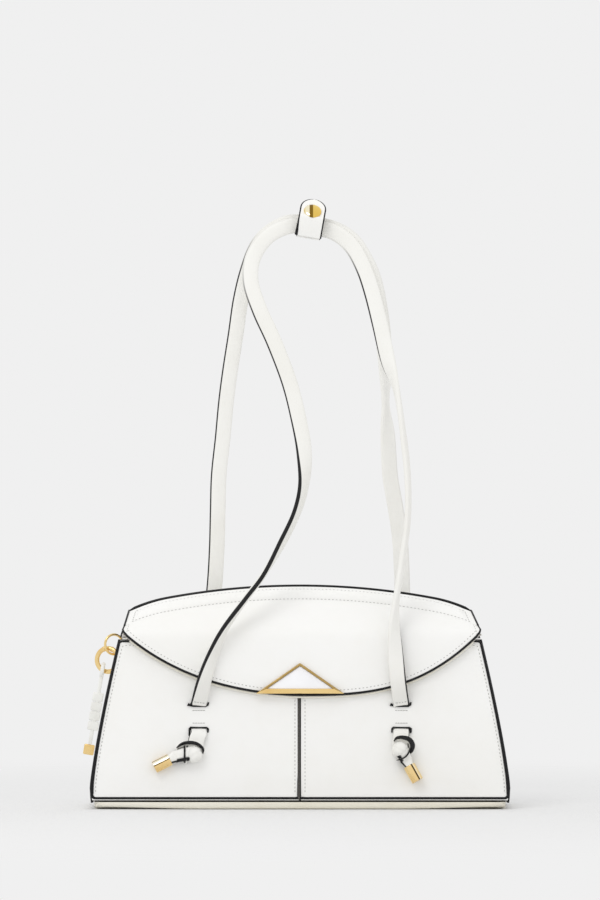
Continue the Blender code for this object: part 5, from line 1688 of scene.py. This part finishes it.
def buildKeeper():
    form = keeperForm
    seat, frontTop, backTop = keeperFrame()
    outerY = strapForm["topOffset"] + strapForm["halfThickness"] + form["gap"] + form["thickness"]
    topZ = strapForm["halfWidth"] + (backTop - frontTop) / 2 + form["slack"]
    floorZ = -topZ - form["thickness"]
    start = leanPoint(form["snapAlong"] + form["rearStart"], form["rearRise"])
    end = leanPoint(form["snapAlong"] - form["rearEnd"], form["rearRise"])
    points = [(-outerY + 0.0006, floorZ), (0, floorZ), (outerY - 0.0012, floorZ), (outerY, floorZ + 0.0012),
              (outerY, (floorZ + topZ) / 2), (outerY, topZ)]
    for share in spread(0, 1, 5)[1:-1]:
        points.append((mix(outerY, start[0], (1 - math.cos(share * math.pi)) / 2),
                       mix(topZ, start[1], share) + form["roofRise"] * math.sin(share * math.pi)))
    points += [start, ((start[0] + end[0]) / 2, (start[1] + end[1]) / 2), end]
    line = bandLine(points, 96)
    band = keeperStrip("keeperBand", line, seat, lambda along: form["halfWidth"])
    giveWall(band, form["thickness"], form["bevel"], False)
    whitenFaces(band, seat, lambda low: low.y < -outerY + 0.0016 and low.z < floorZ + 0.0022)
    settle(band, "back_strap_body", ["keeper_band"], 50)
    faceRise = form["rearRise"]
    for layer in form["snapStack"]:
        faceRise += layer
    faceRise += form["thickness"]
    hingeY = outerY + form["gap"] + form["thickness"]
    knee = leanPoint(form["snapAlong"] - form["kneeReach"], faceRise)
    foot = (-hingeY, floorZ + form["thickness"] / 2)
    points = [foot, ((foot[0] + knee[0]) / 2 - 0.0004, (foot[1] + knee[1]) / 2), knee]
    for reach in spread(-form["kneeReach"], form["tipReach"], 8)[1:]:
        points.append(leanPoint(form["snapAlong"] + reach, faceRise))
    count = 90
    line = bandLine(points, count)
    lengths = [0.0]
    for before, after in zip(line, line[1:]):
        lengths.append(lengths[-1] + (after - before).length)
    total = lengths[-1]

    def tabWidth(along):
        past = form["halfWidth"] - (total - lengths[round(along * count)])
        share = clamp(past / form["halfWidth"], 0, form["tipShare"])
        return form["halfWidth"] * math.sqrt(1 - share ** 2)

    tab = keeperStrip("keeperTab", line, seat, tabWidth, -1)
    faceToward(tab, Vector((0, -1, 0.6)))
    giveWall(tab, form["thickness"], form["bevel"], False)
    whitenFaces(tab, seat, lambda low: low.z < foot[1] + 0.0008)
    settle(tab, "keeper_tab_body", ["keeper_tab"], 50)
    # the painted edge bead, thickest low on the left where the side of the fold is seen
    sides = []
    for side in (-1, 1):
        run = []
        for index in range(count + 1):
            point = line[index]
            tangent = directionAt(line, index)
            outward = Vector((0, tangent.y, -tangent.x))
            if outward.y > 0:
                outward.negate()
            rim = Vector((side * tabWidth(index / count), point.x, point.y))
            run.append(seat @ (rim - outward * form["beadSink"]))
        sides.append(run)
    footLeft = sides[0][0]

    def beadWidth(point):
        return 1 + form["beadSwell"] * (1 - smooth((point - footLeft).length / form["beadReach"]))

    bead = tubePiece("keeperTabEdge", sides[0] + sides[1][::-1], form["edgeBead"], blackEdge,
                     widthAt=beadWidth)
    settle(bead, "keeper_tab_body", (), 60)
    buildSnap(seat, faceRise)


def buildSnap(seat, faceRise):
    form = snapForm
    y, z = leanPoint(keeperForm["snapAlong"], faceRise)
    lean = Vector((0, math.sin(keeperForm["lean"]), math.cos(keeperForm["lean"])))
    outer = seat @ frameFrom(Vector((0, y, z)), Vector((1, 0, 0)), lean)
    # a dome with a rolled lip, on its stem
    cap = newMesh(bpy.ops.mesh.primitive_cylinder_add, "snapCap", vertices=64, radius=form["capRadius"],
                  depth=form["lip"])
    selectFaces(cap, lambda face: face.normal.z > 0.9)
    angles = spread(0, 1, form["domeSteps"])
    for before, angle in [(low * math.pi / 2, high * math.pi / 2) for low, high in zip(angles, angles[1:])]:
        scale = max(math.cos(angle), 0.02) / math.cos(before)
        lift = (form["capHeight"] - form["lip"]) * (math.sin(angle) - math.sin(before))
        inEditMode(cap, lambda: extrudeUp(lift),
                   lambda: bpy.ops.transform.resize(value=(scale, scale, 1), center_override=(0, 0, 0)))
    cap.data.transform(Matrix.Translation((0, 0, form["gap"] + form["lip"] / 2)))
    roundEdges(cap, form["bevel"], 3, 45)
    stem = newMesh(bpy.ops.mesh.primitive_cylinder_add, vertices=20, radius=form["stemRadius"],
                   depth=form["stemLength"], location=(0, 0, -0.0006))
    bpy.ops.object.transform_apply(location=True)
    cap = joinPieces("snapCap", [cap, stem])
    cap.data.transform(outer)
    places = [vert.co.x for vert in cap.data.vertices]
    least, most = min(places), max(places)
    # the map runs across the snap from left to right, for its painted reflection bands
    setAcross(cap, lambda point: (point.x - least) / (most - least))
    paintOnly(cap, snapGold)
    settle(cap, "keeper_tab_body", ["snap_cap"], 35)


buildKeeper()
print("keeper and snap built")


# rings and charm at the left gusset
ringForm = {
    "drop": 0.004, "radius": 0.0071, "wire": 0.0009, "turn": math.radians(30), "claspRadius": 0.0084,
    "claspWire": 0.0017, "claspTurn": math.radians(-20), "spacing": 0.012, "hangEase": math.radians(8),
    "tabHalfWidth": 0.003, "tabHalfHeight": 0.002, "tabReach": 0.0092,
    "tabWall": 0.0014, "standOff": 0.0011, "holeRadius": 0.0016, "eyeTurn": math.radians(30),
    "eyeRadius": 0.0056, "eyeHole": 0.0039, "leanEase": math.radians(1.6), "linkHalf": 0.0016,
    "linkLength": 0.0165,
    "blockWide": 0.0039, "blockHeight": 0.0064, "blockDeep": 0.0019, "stripDepth": 0.0014,
    "neckHeight": 0.0006,
    "tailLength": 0.0095, "endWide": 0.0038, "endHeight": 0.0075, "endDeep": 0.0018, "endGap": 0.0003,
    "collars": ((70, 0.0010), (112, 0.0006)), "blocks": 4, "tabBevel": 0.0011, "tabRoot": 0.001,
    "stripBevel": 0.0008,
    "blockBevel": 0.00085, "endBevel": 0.0009,
}


def awayAt(turn):
    # level, away from the bag's left side, turned this far towards the front
    return Vector((-math.cos(turn), -math.sin(turn), 0))


def ringPiece(name, centre, turn, radius, wire, body, node, collars=()):
    seat = frameFrom(centre, awayAt(turn), Vector((0, 0, 1)))
    parts = [newMesh(bpy.ops.mesh.primitive_torus_add, major_radius=radius, minor_radius=wire,
                     major_segments=120, minor_segments=24)]
    if collars:
        # the gate's two collars: how far round the ring each stands, and half its length
        for place, half in [(math.radians(degrees), half) for degrees, half in collars]:
            sleeve = newMesh(bpy.ops.mesh.primitive_cylinder_add, vertices=40, radius=wire * 1.13,
                             depth=half * 2)
            roundEdges(sleeve, 0.0002)
            sleeve.data.transform(Matrix.Rotation(place, 4, "Z") @ Matrix.Translation((radius, 0, 0))
                                  @ Matrix.Rotation(math.pi / 2, 4, "X"))
            parts.append(sleeve)
    ring = joinPieces(name, parts)
    ring.data.transform(seat)
    paintOnly(ring, goldMetal)
    settle(ring, body, [node], 40)


def sideLean(high, low):
    # how far the bag's side leans out between two heights
    return math.atan2(halfWidth(low) - halfWidth(high), high - low)


def buildRings():
    form = ringForm
    height = bodyForm["panelTop"] - form["drop"]
    middleY = (frontY(height) + backY(height)) / 2
    low = height - form["tabHalfHeight"]
    halfTab, root = form["tabHalfWidth"], form["tabRoot"]
    seatX = max(gussetX(middleY + halfTab, low), gussetX(middleY - halfTab, low)) + form["standOff"]
    tab = newMesh(bpy.ops.mesh.primitive_cube_add, "ringTab", size=1)
    reshape(tab, lambda point: Vector((point.x * (form["tabReach"] + 2 * root) + root, point.y * 2 * halfTab,
                                       point.z * 2 * form["tabHalfHeight"])))
    roundEdges(tab, form["tabBevel"], 4)
    tab.data.transform(Matrix.Translation((-seatX - form["tabReach"] / 2, middleY, height)))
    holeX = -(seatX + form["tabReach"] - form["tabWall"] - form["holeRadius"])
    hole = Vector((holeX, middleY, height))
    drill = newMesh(bpy.ops.mesh.primitive_cylinder_add, vertices=32, radius=form["holeRadius"], depth=0.01,
                    location=hole)
    bpy.ops.object.transform_apply(location=True)
    tab.data.materials.append(whiteLeather)
    applyModifier(tab, "BOOLEAN", operation="DIFFERENCE", solver="EXACT", object=drill)
    bpy.data.objects.remove(drill)
    settle(tab, "bag_body", ["ring_tab"], 40)
    centre = hole + awayAt(form["turn"]) * form["radius"]
    ringPiece("gussetRing", centre, form["turn"], form["radius"], form["wire"], "ring_body", "gusset_ring")
    hang = sideLean(height, height - form["spacing"]) + form["hangEase"]
    claspCentre = centre + Vector((-math.sin(hang), 0, -math.cos(hang))) * form["spacing"]
    ringPiece("claspRing", claspCentre, form["claspTurn"], form["claspRadius"], form["claspWire"],
              "clasp_body",
              "clasp_ring", form["collars"])
    eyeWay = awayAt(form["claspTurn"]) * math.sin(form["eyeTurn"]) - Vector((0, 0, math.cos(form["eyeTurn"])))
    eye = claspCentre + eyeWay * form["claspRadius"]
    pitch = form["blockHeight"] + form["neckHeight"]
    length = form["linkLength"] + form["blocks"] * pitch + form["tailLength"]
    lean = sideLean(eye.z, eye.z - length) - form["leanEase"]
    seat = frameFrom(eye, Vector((0, 1, 0)), Vector((math.sin(lean), 0, math.cos(lean))))
    buildCharm(seat, pitch, length)


def softBlock(width, height, depth, place, bevel):
    block = newMesh(bpy.ops.mesh.primitive_cube_add, size=1)
    reshape(block, lambda point: Vector((point.x * width, point.y * height, point.z * depth)))
    roundEdges(block, bevel, 4)
    block.data.transform(Matrix.Translation(place))
    return block


def buildCharm(seat, pitch, length):
    form = ringForm
    wire = (form["eyeRadius"] - form["eyeHole"]) / 2
    eye = newMesh(bpy.ops.mesh.primitive_torus_add, major_radius=(form["eyeRadius"] + form["eyeHole"]) / 2,
                  minor_radius=wire, major_segments=72, minor_segments=20)
    eye.data.transform(Matrix.Diagonal((1, 1, form["stripDepth"] / wire, 1)))
    parts = [eye, softBlock(2 * form["linkHalf"], length - form["eyeHole"], 1.9 * form["stripDepth"],
                            (0, -(length + form["eyeHole"]) / 2, 0), form["stripBevel"])]
    for block in range(form["blocks"]):
        middle = form["linkLength"] + block * pitch + form["blockHeight"] / 2
        parts.append(softBlock(2 * form["blockDeep"], form["blockHeight"], 2 * form["blockWide"],
                               (0, -middle, 0),
                               form["blockBevel"]))
    strand = joinPieces("charmStrand", parts)
    strand.data.transform(seat)
    paintOnly(strand, charmWhite)
    settle(strand, "charm_body", ["charm_strand"], 40)
    endMiddle = length + form["endGap"] + form["endHeight"] / 2
    end = softBlock(2 * form["endDeep"], form["endHeight"], 2 * form["endWide"], (0, -endMiddle, 0),
                    form["endBevel"])
    rename(end, "charmEnd")
    end.data.transform(seat)
    paintOnly(end, goldMetal)
    settle(end, "charm_body", ["charm_end"], 40)


buildRings()
print("rings and charm built")


# camera, floor, backdrop and lights
studio = {
    "eyeHeight": 0.2569, "eyeDistance": 4.53, "lens": 251.4, "backgroundGrey": 0.871, "worldLight": 0.948,
    "keyPower": 7.3, "keyPlace": (-0.7, -1.3, 1.7), "keyTarget": (0, 0, 0.15), "keySize": 0.9,
    "sensor": 36, "floorRadius": 1.2, "floorGrey": 0.80, "floorRough": 0.9, "fadeFrom": 0.26, "fadeTo": 0.75,
}


def aimedArea(name, place, target, size, power):
    lamp = bpy.data.lights.new(name, "AREA")
    lamp.energy = power
    lamp.size = size
    holder = bpy.data.objects.new(name, lamp)
    bpy.context.scene.collection.objects.link(holder)
    holder.location = place
    holder.rotation_euler = (Vector(target) - Vector(place)).to_track_quat("-Z", "Y").to_euler()


def buildStudio():
    lens = bpy.data.cameras.new("camera")
    lens.lens = studio["lens"]
    lens.sensor_fit = "VERTICAL"
    lens.sensor_width = lens.sensor_height = studio["sensor"]
    camera = bpy.data.objects.new("camera", lens)
    bpy.context.scene.collection.objects.link(camera)
    camera.location = (0, -studio["eyeDistance"], studio["eyeHeight"])
    camera.rotation_euler = (math.pi / 2, 0, 0)
    bpy.context.scene.camera = camera
    world = bpy.data.worlds.new("studio")
    world.use_nodes = True
    tree = world.node_tree
    back = tree.nodes["Background"]
    grey = studio["backgroundGrey"]
    back.inputs[0].default_value = (1, 1, 1, 1)
    back.inputs[1].default_value = studio["worldLight"]
    seen = tree.nodes.new("ShaderNodeBackground")
    seen.inputs[0].default_value = (grey, grey, grey, 1)
    # what the camera sees, straight or through or in the metal, is the background's grey
    path = tree.nodes.new("ShaderNodeLightPath")
    shown = path.outputs["Is Camera Ray"]
    for ray in ("Is Transmission Ray", "Is Glossy Ray"):
        most = tree.nodes.new("ShaderNodeMath")
        most.operation = "MAXIMUM"
        tree.links.new(shown, most.inputs[0])
        tree.links.new(path.outputs[ray], most.inputs[1])
        shown = most.outputs[0]
    blend = tree.nodes.new("ShaderNodeMixShader")
    tree.links.new(shown, blend.inputs[0])
    tree.links.new(back.outputs[0], blend.inputs[1])
    tree.links.new(seen.outputs[0], blend.inputs[2])
    tree.links.new(blend.outputs[0], tree.nodes["World Output"].inputs[0])
    bpy.context.scene.world = world
    aimedArea("key", studio["keyPlace"], studio["keyTarget"], studio["keySize"], studio["keyPower"])
    # the floor fades out, and keeps the bag's shadow
    floor = newMesh(bpy.ops.mesh.primitive_circle_add, "floor", vertices=96, radius=studio["floorRadius"],
                    fill_type="NGON")
    paint = Paint("floorPaint")
    where = paint.place()
    paint.set("Base Color", colour(studio["floorGrey"], studio["floorGrey"], studio["floorGrey"]))
    paint.set("Roughness", studio["floorRough"])
    paint.set("Specular IOR Level", 0.0)
    distance = paint.out(paint.node("ShaderNodeVectorMath", {"operation": "LENGTH"}, {0: where}), "Value")
    paint.set("Alpha", 1 - distance.between(studio["fadeFrom"], studio["fadeTo"]))
    floor.data.materials.append(paint.material)
    bpy.context.scene.view_settings.view_transform = "Standard"


buildStudio()
print("studio ready")
